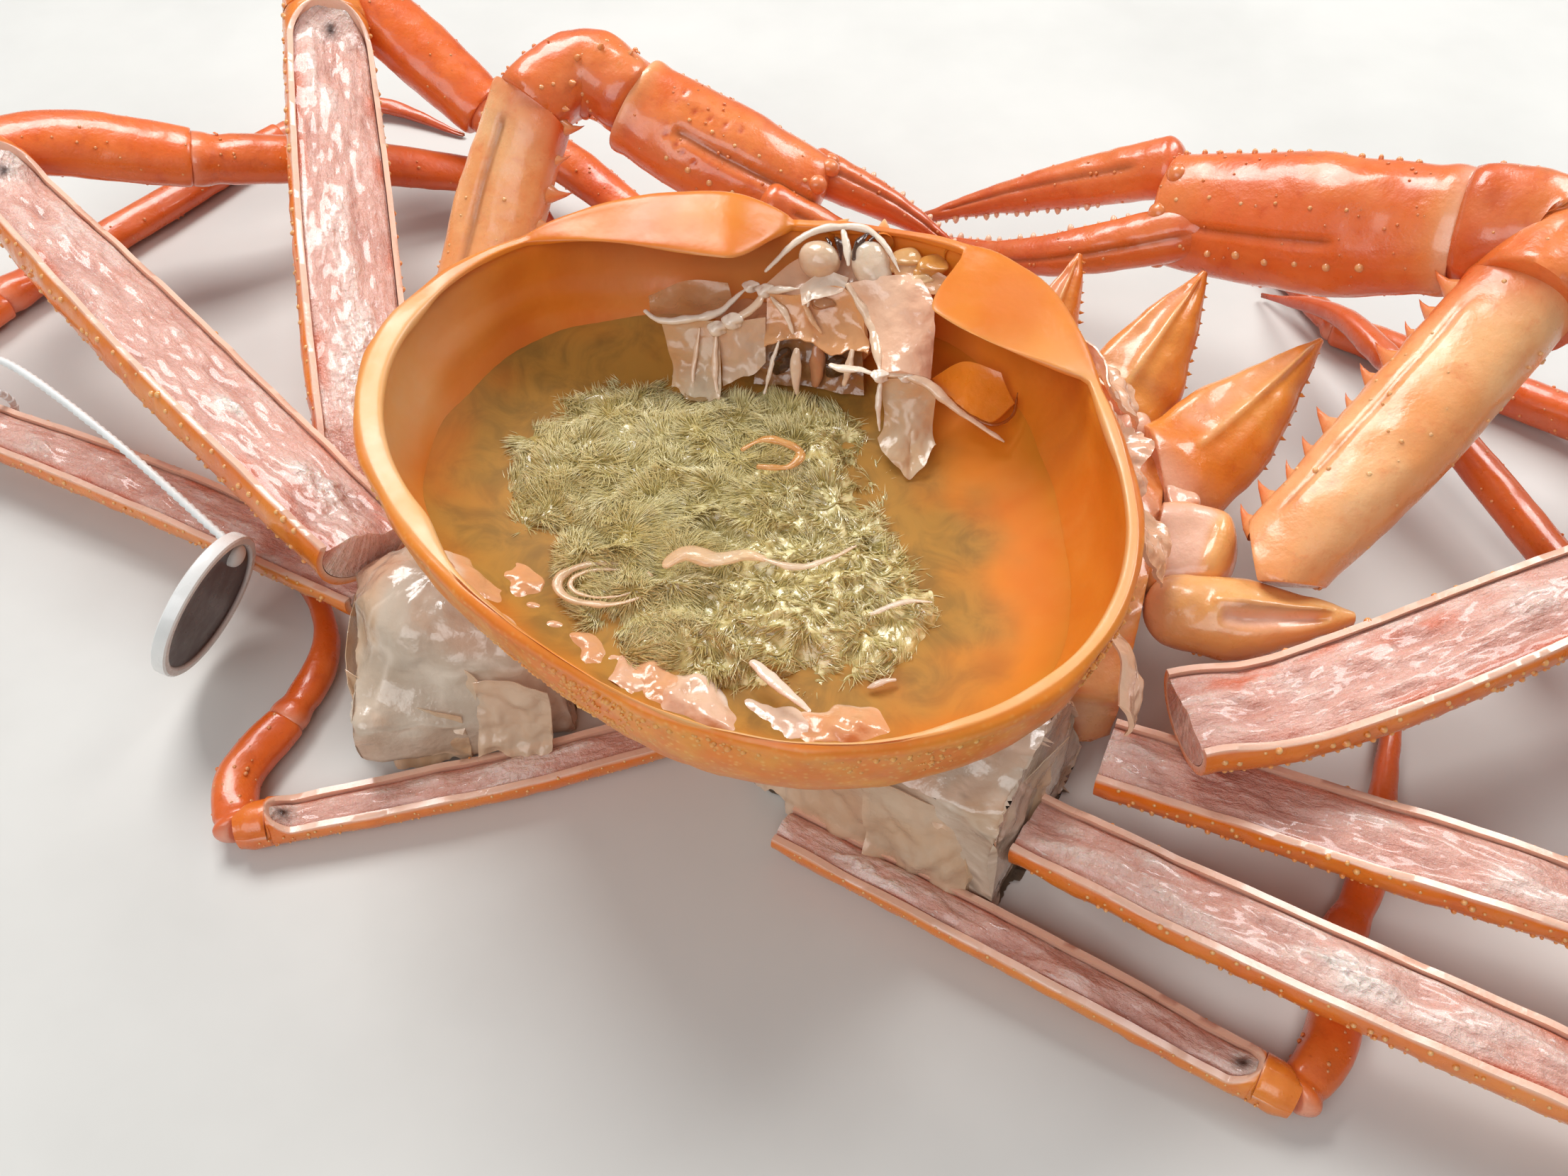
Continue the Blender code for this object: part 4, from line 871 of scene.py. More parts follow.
def make_filaments(name, count, seed, wet):
    """Fine tapered filaments that lie over the mass in whorls, loose where it is dry and flat where wet."""
    chance = np.random.default_rng(seed)
    angle = chance.uniform(0, 2 * math.pi, count * 3)
    share = np.sqrt(chance.uniform(0, 1.04, count * 3))
    x = MASS_AT[0] + mass_reach(angle) * share * np.sin(angle)
    y = MASS_AT[1] + mass_reach(angle) * share * np.cos(angle)
    wanted = wetness(x, y) if wet else 1.1 - wetness(x, y)
    keep = np.flatnonzero(chance.uniform(0, 1, count * 3) < wanted)[:count]
    x, y, angle, share = x[keep], y[keep], angle[keep], share[keep]
    count = len(x)
    height, edge = mass_height(x, y)
    step = 0.8
    slope_x = (mass_height(x + step, y)[0] - height) / step
    slope_y = (mass_height(x, y + step)[0] - height) / step
    up = unit(np.stack([-slope_x, -slope_y, 1 + 0 * x], 1))
    flat = np.stack([x, y, 0 * x], 1)
    centres = np.random.default_rng(55).uniform(-50, 50, (230, 2)) + MASS_AT
    off = flat[:, None, :2] - centres[None]
    nearest = np.argmin((off ** 2).sum(-1), 1)
    off = off[np.arange(count), nearest]
    far = np.linalg.norm(off, axis=1)
    whorl = np.concatenate([off / np.maximum(far, 0.5)[:, None], np.zeros((count, 1))], 1)
    swirl = np.stack([noise(flat, 6.5, 81, 2), noise(flat, 6.5, 82, 2), 0 * x], 1)
    outward = np.stack([np.sin(angle), np.cos(angle), 0 * x], 1) * smooth(0.45, 1.0, edge)[:, None]
    lie = 0.9 * whorl + 1.5 * swirl + outward * 1.5 + chance.normal(0, 0.28, (count, 3))
    lie = unit(lie - up * (lie * up).sum(1, keepdims=True))
    stand = (0.1 if wet else 0.55) + chance.normal(0, 0.13, count)
    way = unit(lie + up * stand[:, None])
    length = chance.uniform(1.4, 2.6, count) if wet else chance.uniform(1.8, 3.4, count)
    length = length * (1 - 0.35 * smooth(0.85, 1.0, edge))
    sunk = 0.35 * smooth(2.0, 5.0, far)
    root = np.stack([x, y, BROTH_LEVEL - 0.45 + height - sunk], 1)
    side = unit(np.cross(way, up))
    rows = np.array([0.0, 0.55, 1.0])
    thick = np.array([1.0, 0.8, 0.0]) * (0.19 if wet else 0.155)
    droop = lie - up * 0.6
    middle = (root[:, None] + way[:, None] * (rows * length[:, None])[..., None]
              + droop[:, None] * (rows ** 2 * length[:, None] * 0.3)[..., None])
    turns = np.radians((90, 210, 330))
    ring = (side[:, None, None] * np.cos(turns)[:, None]
            + np.cross(side, way)[:, None, None] * (np.sin(turns) * 0.6)[:, None])
    verts = (middle[:, :, None] + ring * thick[None, :, None, None]).reshape(count, 9, 3)[:, :7]
    start = np.arange(count)[:, None, None] * 7
    quads = quads_over(2, 3)
    tris = np.array([[3, 4, 6], [4, 5, 6], [5, 3, 6]])
    level = np.array([0.0] * 3 + [0.55] * 3 + [1.0])
    glow = np.broadcast_to(0.3 + 0.7 * level, (count, 7))
    own = np.broadcast_to(chance.uniform(0, 0.8, count)[:, None] ** 2, glow.shape)
    tint = masks(glow * (0.8 if wet else 1.0), own)
    spot = 0.5 + 0.46 * np.stack([share * np.sin(angle), share * np.cos(angle)], 1)
    corner = np.stack([np.tile(np.cos(turns), 3)[:7], 2 * level - 1], -1)
    uv = spot[:, None] + corner * 0.0015
    part = surface(verts, quads[None] + start, tris[None] + start, tint)
    piece(name, [part], olive_finish(name, 0.9 if wet else 0.2),
          grain=("OFBake", uv.reshape(-1, 2)))


def make_wet_ridges():
    """Short winding glossy ridges where the mass is wet, which catch the light."""
    chance = np.random.default_rng(91)
    parts = []
    while len(parts) < 150:
        angle, share = chance.uniform(0, 2 * math.pi), math.sqrt(chance.uniform(0, 0.9))
        spot = MASS_AT + mass_reach(np.array(angle)) * share * np.array((math.sin(angle), math.cos(angle)))
        if wetness(*spot) < chance.uniform(0.4, 1):
            continue
        track = [spot]
        for _ in range(5):
            here = np.append(track[-1], 0)
            heading = 9 * noise(here, 11, 92) + 3 * noise(here, 4, 93)
            track.append(track[-1] + 1.25 * np.array((math.cos(heading), math.sin(heading))))
        track = np.array(track)
        height, edge = mass_height(track[:, 0], track[:, 1])
        if edge.max() > 0.95:
            continue
        points = np.column_stack([track, BROTH_LEVEL - 0.25 + height])
        parts.append(strand(points, chance.uniform(0.5, 0.9), 6, 16, 94 + len(parts), (0.4, 0.4, 0, 0),
                            0.8))
    piece("olive_wet_ridges", parts, olive_finish("olive_ridge", 1.0))


# Legs
def slit_joint(name, row, planes, seed):
    """A leg's long joint: a warty shell slit open along its top, and the meat that lies in it."""
    points, widths, heights, up = row["paths"][0], row["widths"][0], row["heights"], row["up"]
    window_end = row["window"]
    _, length = path_through(points, [0, 1])
    bend = widths[-1] / 2 / length
    near = np.linspace(1, 0, 14)[1:-1] ** 1.6
    at = np.concatenate([np.linspace(0, window_end - bend, round(length * 0.85)), window_end - bend * near,
                         np.linspace(window_end + 0.004, 1, 8)])
    past = np.clip(1 - (window_end - at) / bend, 0, 1)
    half = np.sqrt(np.clip(1 - past ** 2, 0, 1)) * math.sqrt(1 - WINDOW_LEVEL ** 2)
    closed = at > window_end
    level = np.where(closed, 0.3, np.sqrt(1 - half ** 2))
    deep = np.where(closed, 0, smooth(1.02, 0.2, past))
    ends = 1 - 0.14 * smooth(0.97, 1, at)
    places, _ = path_through(points, at)
    _, side, rise = axes_along(places, np.asarray(up, float))
    wide = catmull(widths, at)[:, None] / 2 * ends[:, None]
    tall = catmull(heights, at)[:, None] / 2 * ends[:, None]
    share = np.linspace(0, 1, 2 * round(widths[0]) + 5)[None]
    cut = np.arcsin(np.minimum(level, 0.999))[:, None]
    wave = noise(places, 9, seed, 2)[:, None] * 0.35

    def line(inset, depth, top=False):
        """Lines of the sections, left to right through the bottom or over the top."""
        angle = (math.pi - cut) + (math.pi + 2 * cut) * share
        if top:
            angle = (math.pi - cut) - (math.pi - 2 * cut) * share
        across = (wide - inset) * np.cos(angle)
        height = (tall - inset) * np.sin(angle)
        if not top:
            edge = tall * level[:, None] + wave * ~closed[:, None]
            height = np.where((share == 0) | (share == 1), edge, height)
            flat = across[:, :1] + (across[:, -1:] - across[:, :1]) * share
            across = flat + (across - flat) * depth
            height = edge + (height - edge) * depth
        return places[:, None] + across[..., None] * side[:, None] + height[..., None] * rise[:, None]

    lower = line(0, 1)
    inner = line(SHELL, deep[:, None])
    over = line(0, 1, top=True)
    upper = np.where(closed[:, None, None], over, inner)
    down = normals_of(lower, False)
    push = 0.3 * noise(lower, 6, seed + 1, 2) + 0.12 * noise(lower, 1.7, seed + 2)
    lower = lower + down * (push * smooth(0, 0.08, share) * smooth(1, 0.92, share))[..., None]
    rim = 1 - smooth(0.0, 0.02, share) * smooth(1.0, 0.98, share)
    near_knee = smooth(0.9, 1.0, at)[:, None]
    tint_lower = masks(rim * (1 - near_knee) * 0.95, 0.2 * near_knee + 0 * share)
    tint_upper = masks(np.where(closed[:, None], 0.0, 0.85) + 0 * share, 0.2 * near_knee + 0 * share)
    parts = [two_line_loft(pressed(lower, planes), pressed(upper, planes), tint_lower, tint_upper)]

    chance = np.random.default_rng(seed)
    for degrees, spread, count, size in LEG_WARTS:
        spot_at = (np.arange(count) + chance.uniform(0.1, 0.9, count)) / count * 0.93 + 0.03
        spot, out, forward = on_limb(points, widths, heights, up, spot_at,
                                     degrees + chance.uniform(-spread, spread, count), 2)
        size = size * chance.uniform(0.6, 1.25, count) * min(1.15, widths[0] / 17)
        parts.append(warts(pressed(spot - 0.1 * out, planes), out + 0.3 * forward, size, size * 0.9,
                           tint=(0, 0, 0.65, 0), sides=6))
    piece(name + "_shell", parts, FINISH["leg"], (name + "_merus",))

    use = at < window_end - bend * 0.12
    below = line(SHELL + GAP * 0.6, 1)[use]
    last = at[use]
    lift = rise[use][:, None]
    above = ((below - below[:, :1]) * lift).sum(-1, keepdims=True) + MEAT_SUNK
    below = below - np.maximum(above, 0) * lift
    middle = (below[:, :1] + below[:, -1:]) / 2
    narrowing = smooth(window_end - bend, window_end, last)
    below = middle + (below - middle) * (1 - 0.12 * narrowing)[:, None, None]
    across = below[:, :1] + (below[:, -1:] - below[:, :1]) * share[..., None]
    along_mm = (last * length)[:, None] + 0 * share
    across_mm = np.linalg.norm(across - across[:, :1], axis=-1)
    centred = across_mm - across_mm[:, -1:] / 2
    local = np.stack([across_mm * 1.6, along_mm * 0.6, 0 * across_mm], -1)
    chunk = noise(local, 7, seed + 6, 3)
    fine = noise(local, 2.4, seed + 3, 2)
    torn = 0 * chunk
    for fraction, place, spread in row["torn"]:
        near = bell(along_mm / length - fraction, 1.6 * spread) * bell(share - place, 0.3)
        torn = np.maximum(torn, near * smooth(-0.45, 0.35, noise(local, 4.5, seed + 9, 2)))
    grains = ridged(np.stack([across_mm, along_mm, 0 * along_mm], -1), 2.3, seed + 10, 2)
    flakes = 1.15 + 0.95 * chunk + 0.4 * fine + torn * (0.5 + 0.8 * grains)
    crown = np.sin(share * math.pi) ** 0.5 * flakes
    crown = crown * (1 - 0.5 * narrowing)[:, None]
    high = across + crown[..., None] * lift
    below[:, [0, -1]] -= lift * GAP
    edge = smooth(0.2, 0.0, np.minimum(share, 1 - share))
    streak = edge * smooth(0.0, 0.6, noise(local, 8, seed + 8, 2))
    for fraction, place, size in row.get("streaks", ()):
        streak = np.maximum(streak, np.exp(-(((along_mm / length - fraction) * length / size) ** 2)
                                           - ((share - place) * 9) ** 2) * smooth(-0.4, 0.3, fine))
    hole_at = window_end - bend * 0.62
    # Painted shade of a small hole near the window's end, dark on the meat.
    painted_hole_shade = np.exp(-(((last[:, None] - hole_at) * length / 1.5) ** 2 + (centred / 1.3) ** 2))
    pale_end = smooth(window_end - bend * 1.5, window_end - bend * 0.7, last)[:, None]
    pale = 0.45 * smooth(0.25, 0.8, chunk) + 0.75 * torn + 0.4 * pale_end
    # The third mask is painted shade in the low parts of the chunks.
    tint = masks(streak * 0.8, pale, smooth(-0.2, -0.8, chunk) * 0.4, painted_hole_shade)
    flat_map = np.stack([across_mm, along_mm], -1)
    uv = np.concatenate([flat_map, flat_map[:, ::-1]], 1).reshape(-1, 2)
    parts = [two_line_loft(pressed(below, planes), pressed(high, planes), tint, tint)]
    piece(name + "_meat", parts, FINISH["meat"], (name + "_flesh",), grain=("grain", uv))


def mitre(before, after):
    """The plane between two limb joints that meet, as a point and the forward direction."""
    joint = np.asarray(after[0], float)
    return joint, unit(unit(joint - np.asarray(before[-2])) + unit(np.asarray(after[1]) - joint))


def leg(name, row, seed):
    """One leg of four joints that meet in flat mitres; the long one is slit open."""
    paths = [np.asarray(path, float) for path in row["paths"]]
    planes = [mitre(a, b) for a, b in zip(paths, paths[1:])]
    slit_joint(name, row, planes[:1], seed)
    kinds = ("carpus", "propodus", "dactylus") if len(paths) == 4 else ("carpus", "foot")
    chance = np.random.default_rng(seed + 50)
    for number, kind in enumerate(kinds, 1):
        path = paths[number]
        path = np.vstack([path[0] - unit(path[1] - path[0]) * row["widths"][number][0] * 0.25, path[1:]])
        if number < len(kinds):
            path[-1] = path[-1] + unit(path[-1] - path[-2]) * row["widths"][number][-1] * 0.25
        wide = row["widths"][number]
        tall = [w * 0.82 for w in wide]
        limits = [behind(planes[number - 1])] + planes[number:number + 1]
        tipped = kind in ("dactylus", "foot")

        def carve(at, angle, share=0.5 if tipped else 1.0):
            """Low ridges along the joint and a collar at each end."""
            ridge = 0.28 * np.cos(3 * angle + 0.4) * smooth(0.1, 0.3, at)
            return ridge * share + 0.35 * (bell(at - 0.07, 0.03) - bell(at - 0.13, 0.025))

        def paint(at, angle, deep=(0.05, 0.25, 0.45)[number - 1], tipped=tipped):
            """Pale membrane in the joints and darker red towards the tip."""
            joint = smooth(0.09, 0.0, at) * 0.45
            dark = deep + (0.35 if tipped else 0.1) * at - 0.25 * np.sin(angle)
            tip = smooth(0.93, 1.0, at) * tipped
            return masks(joint, dark, 0, 0.8 * tip)

        parts = [limb(path, wide, tall, sides=36, stations=50, carve=carve, paint=paint, lumps=(0.22, 6),
                      planes=limits, seed=seed + number)]
        count = (46, 70, 0)[number - 1] if kind != "foot" else 0
        if count:
            spot, out, forward = on_limb(path, wide, tall, (0, 0, 1),
                                         *scattered(chance, count, (0.1, 0.92)))
            size = chance.uniform(0.25, 0.5, count)
            parts.append(warts(pressed(spot - 0.12 * out, limits), out + 0.3 * forward, size, size * 0.8,
                               DOME, 0.0, (0, 0.2, 0.35, 0)))
        piece(f"{name}_{kind}_shell", parts, FINISH["leg_end"],
              (f"{name}_{kind}",))


# Claws
def groove(at, angle, middle, width, first, last, depth):
    """A sunk line along a limb, at an angle in degrees."""
    ends = smooth(first, first + 0.06, at) * smooth(last, last - 0.06, at)
    return -depth * bell(around(angle, middle), width) * ends


def longer(path, before, after):
    """The path drawn out past its ends."""
    first = path[0] - unit(path[1] - path[0]) * before
    last = path[-1] + unit(path[-1] - path[-2]) * after
    return np.vstack([first, path[1:-1], last])


def row_of_warts(skin, at, degrees, radius, height, planes, profile=DOME, lean=0.0, tint=(0, 0, 1, 0),
                 sides=10):
    """Warts or spines set along a limb, leaning forward by millimetres."""
    spot, out, forward = on_limb(*skin, at, degrees)
    radius = np.broadcast_to(radius, np.shape(at))
    return warts(pressed(spot - 0.15 * radius[:, None] * out, planes), out, radius, height, profile,
                 forward * lean, tint, sides)


def strewn(skin, chance, count, at_range, radii, heights, planes, tint):
    """Small warts without order on a limb, with ranges of radius and height."""
    return row_of_warts(skin, *scattered(chance, count, at_range), chance.uniform(*radii, count),
                        chance.uniform(*heights, count), planes, tint=tint)


def claw(name, row, seed):
    """One claw: spined merus, carpus, palm with its fixed finger, and the moving finger."""
    merus, carpus, palm = [np.array(row["chain"][k:k + 3], float) for k in (0, 2, 4)]
    elbow = mitre(merus, carpus)
    wrist = mitre(carpus, palm)
    chance = np.random.default_rng(seed)
    face = row["face_side"]

    wide, tall = row["sizes"][0]
    limits = [elbow] + list(row["butts"])
    skin = (longer(merus, 0.5 * wide[0], 0.4 * wide[-1]), wide, tall, row["up_arm"])
    middle, spread, depth = row["arm_groove"]

    def arm_carve(at, angle):
        """The slot along the arm."""
        return groove(at, angle, middle, spread, 0.16, 0.84, depth)

    def arm_paint(at, angle):
        """Shade in the slot, red at the elbow and along the spined edge."""
        side = np.cos(angle - math.radians(row["spine_side"]))
        deep = 0.75 * smooth(0.7, 1.0, at + 0.12 * side) + 0.3 * smooth(0.75, 1.0, side)
        return masks(0.4 * smooth(0.06, 0.0, at), deep, 0,
                     -0.55 / depth * groove(at, angle, middle, spread * 0.8, 0.16, 0.84, depth))

    parts = [limb(*skin, 88, 120, 2.4, (0.6, 0.6), arm_carve, arm_paint, (0.3, 7), limits, seed)]
    count = row["spines"]
    at = np.linspace(0.14, 0.86, count)
    size = 1 + 0.3 * np.sin(np.arange(count) * 2.1)
    parts.append(row_of_warts(skin, at, row["spine_side"] + 5 * (np.arange(count) % 2), 2.3 * size,
                              4.8 * size,
                              limits, THORN, 2.2, (0, 0.75, 0, 0), 16))
    parts.append(strewn(skin, chance, 80, (0.08, 0.92), (0.3, 0.7), (0.3, 0.6), limits,
                        (0, 0.15, 0.35, 0)))
    piece(name + "_merus_shell", parts, FINISH["arm"], (name + "_merus",))

    wide, tall = row["sizes"][1]
    limits = [behind(elbow), wrist]
    skin = (longer(carpus, 0.4 * wide[0], 0.3 * wide[-1]), wide, tall, UP_HAND)

    def wrist_carve(at, angle):
        """A low keel along the joint that ends in a neck."""
        keel = 0.5 * bell(around(angle, face + 60), 22)
        return 0.5 * np.cos(2 * angle + 0.5) + keel * smooth(0.95, 0.6, at) - 0.9 * smooth(0.86, 0.97, at)

    def wrist_paint(at, angle):
        """Redder along one side, with a pale and shaded neck."""
        return masks(0.35 * smooth(0.88, 0.98, at), 0.2 + 0.2 * np.cos(angle + 2), 0,
                     0.3 * smooth(0.86, 0.95, at))

    parts = [limb(*skin, 72, 70, 2.3, (0.9, 0.9), wrist_carve, wrist_paint, (0.7, 8), limits, seed + 1)]
    parts.append(strewn(skin, chance, 50, (0.1, 0.8), (0.35, 0.8), (0.3, 0.7), limits, (0, 0.1, 0.35, 0)))
    parts.append(row_of_warts(skin, np.linspace(0.25, 0.75, 5), np.linspace(face - 45, face + 45, 5), 1.3,
                              1.8,
                              limits, SPINE, 0.6, (0, 0, 0.3, 0)))
    piece(name + "_carpus_shell", parts, FINISH["claw"], (name + "_carpus",))

    wide, tall = row["sizes"][2]
    limits = [behind(wrist)]
    skin = (longer(palm, 0.3 * wide[0], 0), wide, tall, UP_HAND)
    line, spread, start, depth = row["hand_groove"]

    def hand_carve(at, angle):
        """The slot on the palm, a low collar at the wrist and the pores."""
        push = groove(at, angle, line, spread, start, 1.02, depth) + 0.6 * bell(at - 0.1, 0.04)
        return push - 0.35 * pores(at, angle, row["pores"])

    def hand_paint(at, angle):
        """Pale wrist, shade in the slot, darker underside and dark pores."""
        deep = 0.12 - 0.22 * np.cos(angle - math.radians(face)) + 0.9 * pores(at, angle, row["pores"])
        collar = smooth(0.18, 0.05, at) * (0.5 + 0.5 * np.cos(angle - math.radians(face + row["collar"])))
        return masks(0.35 * smooth(0.12, 0.05, at), deep, 0.5 * collar,
                     -0.6 / depth * groove(at, angle, line, spread * 0.7, start, 1.02, depth))

    parts = [limb(*skin, 96, 120, 2.2, (0.5, 0.4), hand_carve, hand_paint, (0.45, 10), limits, seed + 2)]
    for degrees, first, last, count, size in row["warts"]:
        at = np.linspace(first, last, count)
        parts.append(row_of_warts(skin, at, degrees + 3 * np.sin(3 * np.arange(count)),
                                  size * chance.uniform(0.8, 1.2, count),
                                  size * chance.uniform(0.7, 1.1, count),
                                  limits, tint=(0, 0.1, 0.5, 0)))
    parts.append(strewn(skin, chance, 110, (0.14, 0.98), (0.25, 0.45), (0.12, 0.3), limits,
                        (0, 0.3, 0.15, 0)))
    parts.append(row_of_warts(skin, [0.93, 0.955, 0.97, 0.96], face + np.array((-30, 10, 45, 80)), 2.4,
                              1.6, limits,
                              tint=(0, 0.1, 0.15, 0), sides=20))
    fixed = longer(np.array(row["fixed"], float), 10, 0)
    parts += finger(fixed, row["fixed_size"], row["bite"], line, row["teeth"], seed + 3)
    piece(name + "_palm_shell", parts, FINISH["claw"], (name + "_palm",))

    parts = finger(row["finger"], row["finger_size"], -row["bite"], face, row["teeth"], seed + 4)
    piece(name + "_finger_shell", parts, FINISH["claw"], (name + "_finger",))


def pores(at, angle, places):
    """Small round dents at fractions and angles of a palm, 1 in their middles."""
    total = 0 * at * angle
    for fraction, degrees in places:
        total = np.maximum(total, bell(at - fraction, 0.012) * bell(around(angle, degrees), 3.6))
    return total


def finger(path, size, bite, line, teeth, seed):
    """A finger of a claw with a grooved face, pale blunt teeth and a dark tip."""
    skin = (path, *size, UP_HAND)

    def carve(at, angle):
        """The groove along the face."""
        return groove(at, angle, line, 9, 0.12, 0.9, 0.55)

    def paint(at, angle):
        """Darker red and brown towards the tip, and painted shade in the groove."""
        # shade holds the painted shade in the groove and the brown of the tip.
        shade = -0.6 * groove(at, angle, line, 7, 0.12, 0.9, 1) + 0.4 * smooth(0.86, 0.98, at)
        return masks(0, 0.15 + 0.4 * smooth(0.3, 0.95, at), 0, shade)

    parts = [limb(*skin, 60, 90, 2.1, (0.7, 0.9), carve, paint, (0.25, 5), (), seed)]
    chance = np.random.default_rng(seed)
    count = teeth * 3
    at = np.linspace(0.3, 0.95, count)
    big = 1 + 0.45 * np.sin(np.arange(count) * 1.9)
    parts.append(row_of_warts(skin, at, bite + chance.uniform(-6, 6, count), 0.65 * big, 1.1 * big, (),
                              TOOTH,
                              0.1, (1.0, 0, 0.9, 0)))
    parts.append(row_of_warts(skin, *scattered(chance, 30, (0.1, 0.8)), 0.4, 0.25, (),
                              tint=(0, 0.3, 0.2, 0)))
    return parts


# Each leg is a chain of points whose joints meet at every second one, with the widths of all joints and the
# heights of the long one. Its window ends at a fraction of its length. Torn spots and red streaks are at a
# fraction along it and a share across it.
LEGS = {
    "leg_left_1": {"chain": ((-83, 42, 15), (-97, 106, 33), (-118, 200, 50), (-104, 197, 42),
                             (-76, 179, 25), (-50, 165, 15), (-28, 145, 10), (-13, 129, 6),
                             (-4, 108, 1.2)),
                   "widths": ((22, 24, 21), (16, 19, 16), (13, 12, 9), (8, 6, 1.6)),
                   "heights": (17, 18, 16),
                   "up": (0.45, 0, 1), "window": 0.9, "torn": ((0.15, 0.5, 0.07),),
                   "streaks": ((0.1, 0.9, 6),)},
    "leg_left_2": {"chain": ((-77, 20, 30), (-120, 62, 35), (-190, 133, 42), (-175, 144, 38),
                             (-147, 151, 29), (-113, 163, 20), (-79, 171, 10), (-67, 169, 5),
                             (-57, 158, 1.2)),
                   "widths": ((22, 23, 18), (15, 18, 16), (15, 13, 10), (8, 6, 1.6)),
                   "heights": (18, 20, 17),
                   "up": (0.3, 0.3, 1), "window": 0.94, "torn": ((0.1, 0.55, 0.04), (0.26, 0.45, 0.03)),
                   "streaks": ((0.09, 0.2, 7), (0.05, 0.85, 8))},
    "leg_left_3": {"chain": ((-80.5, 23.1, 13.7), (-138, 54, 10.5), (-197, 81, 9.4), (-209, 101, 5),
                             (-198, 124, 5), (-171, 160, 4), (-143, 200, 3.6), (-119, 217, 3),
                             (-90, 205, 0.6)),
                   "widths": ((15, 15, 12), (12, 13, 12), (10, 10, 8), (7, 5.5, 1.4)),
                   "heights": (11.5, 12, 11),
                   "up": (0, 0.1, 1), "window": 0.92, "torn": ()},
    "leg_left_4": {"chain": ((-14, -6, 5), (-50, -17, 5), (-98, -28, 4), (-101, -17, 3.6), (-95, -4, 3.4),
                             (-91, 9, 3), (-92, 20, 2.6), (-98, 31, 2), (-110, 42, 1.2)),
                   "widths": ((9.5, 10, 9), (8, 9, 8), (7.5, 7, 5, 3.6, 1.4)), "heights": (9.5, 10, 9),
                   "up": (0, 0.1, 1), "window": 0.93, "torn": ()},
    "leg_right_1": {"chain": ((77, -19, 27.7), (106, -14, 30.5), (186, 18, 36), (200, 36, 28),
                              (206, 62, 14), (194, 78, 7), (146, 114, 4.2), (139, 134, 3),
                              (128, 152, 0.6)),
                   "widths": ((21, 21, 17), (15, 17, 14), (11, 11, 9), (8, 6, 1.6)),
                   "heights": (17, 18, 16),
                   "up": (0, 0.12, 1), "window": 0.93, "torn": ((0.04, 0.5, 0.03), (0.13, 0.35, 0.05)),
                   "streaks": ((0.1, 0.2, 9), (0.42, 0.25, 8))},
    "leg_right_2": {"chain": ((65, -19, 15.5), (99, -34, 18.5), (168, -62, 20), (180, -42, 17),
                              (177, -14, 13), (168, 29, 13), (149, 82, 17), (142, 108, 13.5),
                              (131, 131, 1.2)),
                   "widths": ((16.5, 17, 14), (12, 13, 11), (9.5, 9, 8), (7.5, 6, 1.4)),
                   "heights": (13.5, 14, 12),
                   "up": (0, 0.12, 1), "window": 0.93, "torn": ((0.05, 0.5, 0.03),),
                   "streaks": ((0.2, 0.25, 6),)},
    "leg_right_3": {"chain": ((49, -33, 14), (88, -58, 18.5), (162, -94, 14), (181, -91, 11),
                              (198, -68, 5),
                              (214, -30, 3.4), (222, 14, 3), (226, 40, 2.6), (220, 66, 0.6)),
                   "widths": ((15, 15.5, 13), (11, 12, 10), (9, 8.5, 7.5), (6.5, 5, 1.4)),
                   "heights": (13, 14, 12),
                   "up": (0, 0.12, 1), "window": 0.93, "torn": ((0.05, 0.5, 0.03), (0.42, 0.55, 0.05))},
    "leg_right_4": {"chain": ((5, -28, 5), (48, -53, 5), (90, -78, 4), (99, -67, 3.6), (104, -51, 3.4),
                              (114, -36, 3), (124, -12, 2.6), (130, 5, 2), (132, 22, 1.2)),
                   "widths": ((9.5, 10, 9), (8, 9, 8), (7.5, 7, 5, 3.6, 1.4)), "heights": (9.5, 10, 9),
                   "up": (0, 0.1, 1), "window": 0.93, "torn": ((0.2, 0.6, 0.08), (0.88, 0.5, 0.03))},
}
for row in LEGS.values():
    last = 2 * len(row["widths"]) - 2
    row["paths"] = [row["chain"][k:k + 3] for k in range(0, last, 2)] + [row["chain"][last:]]

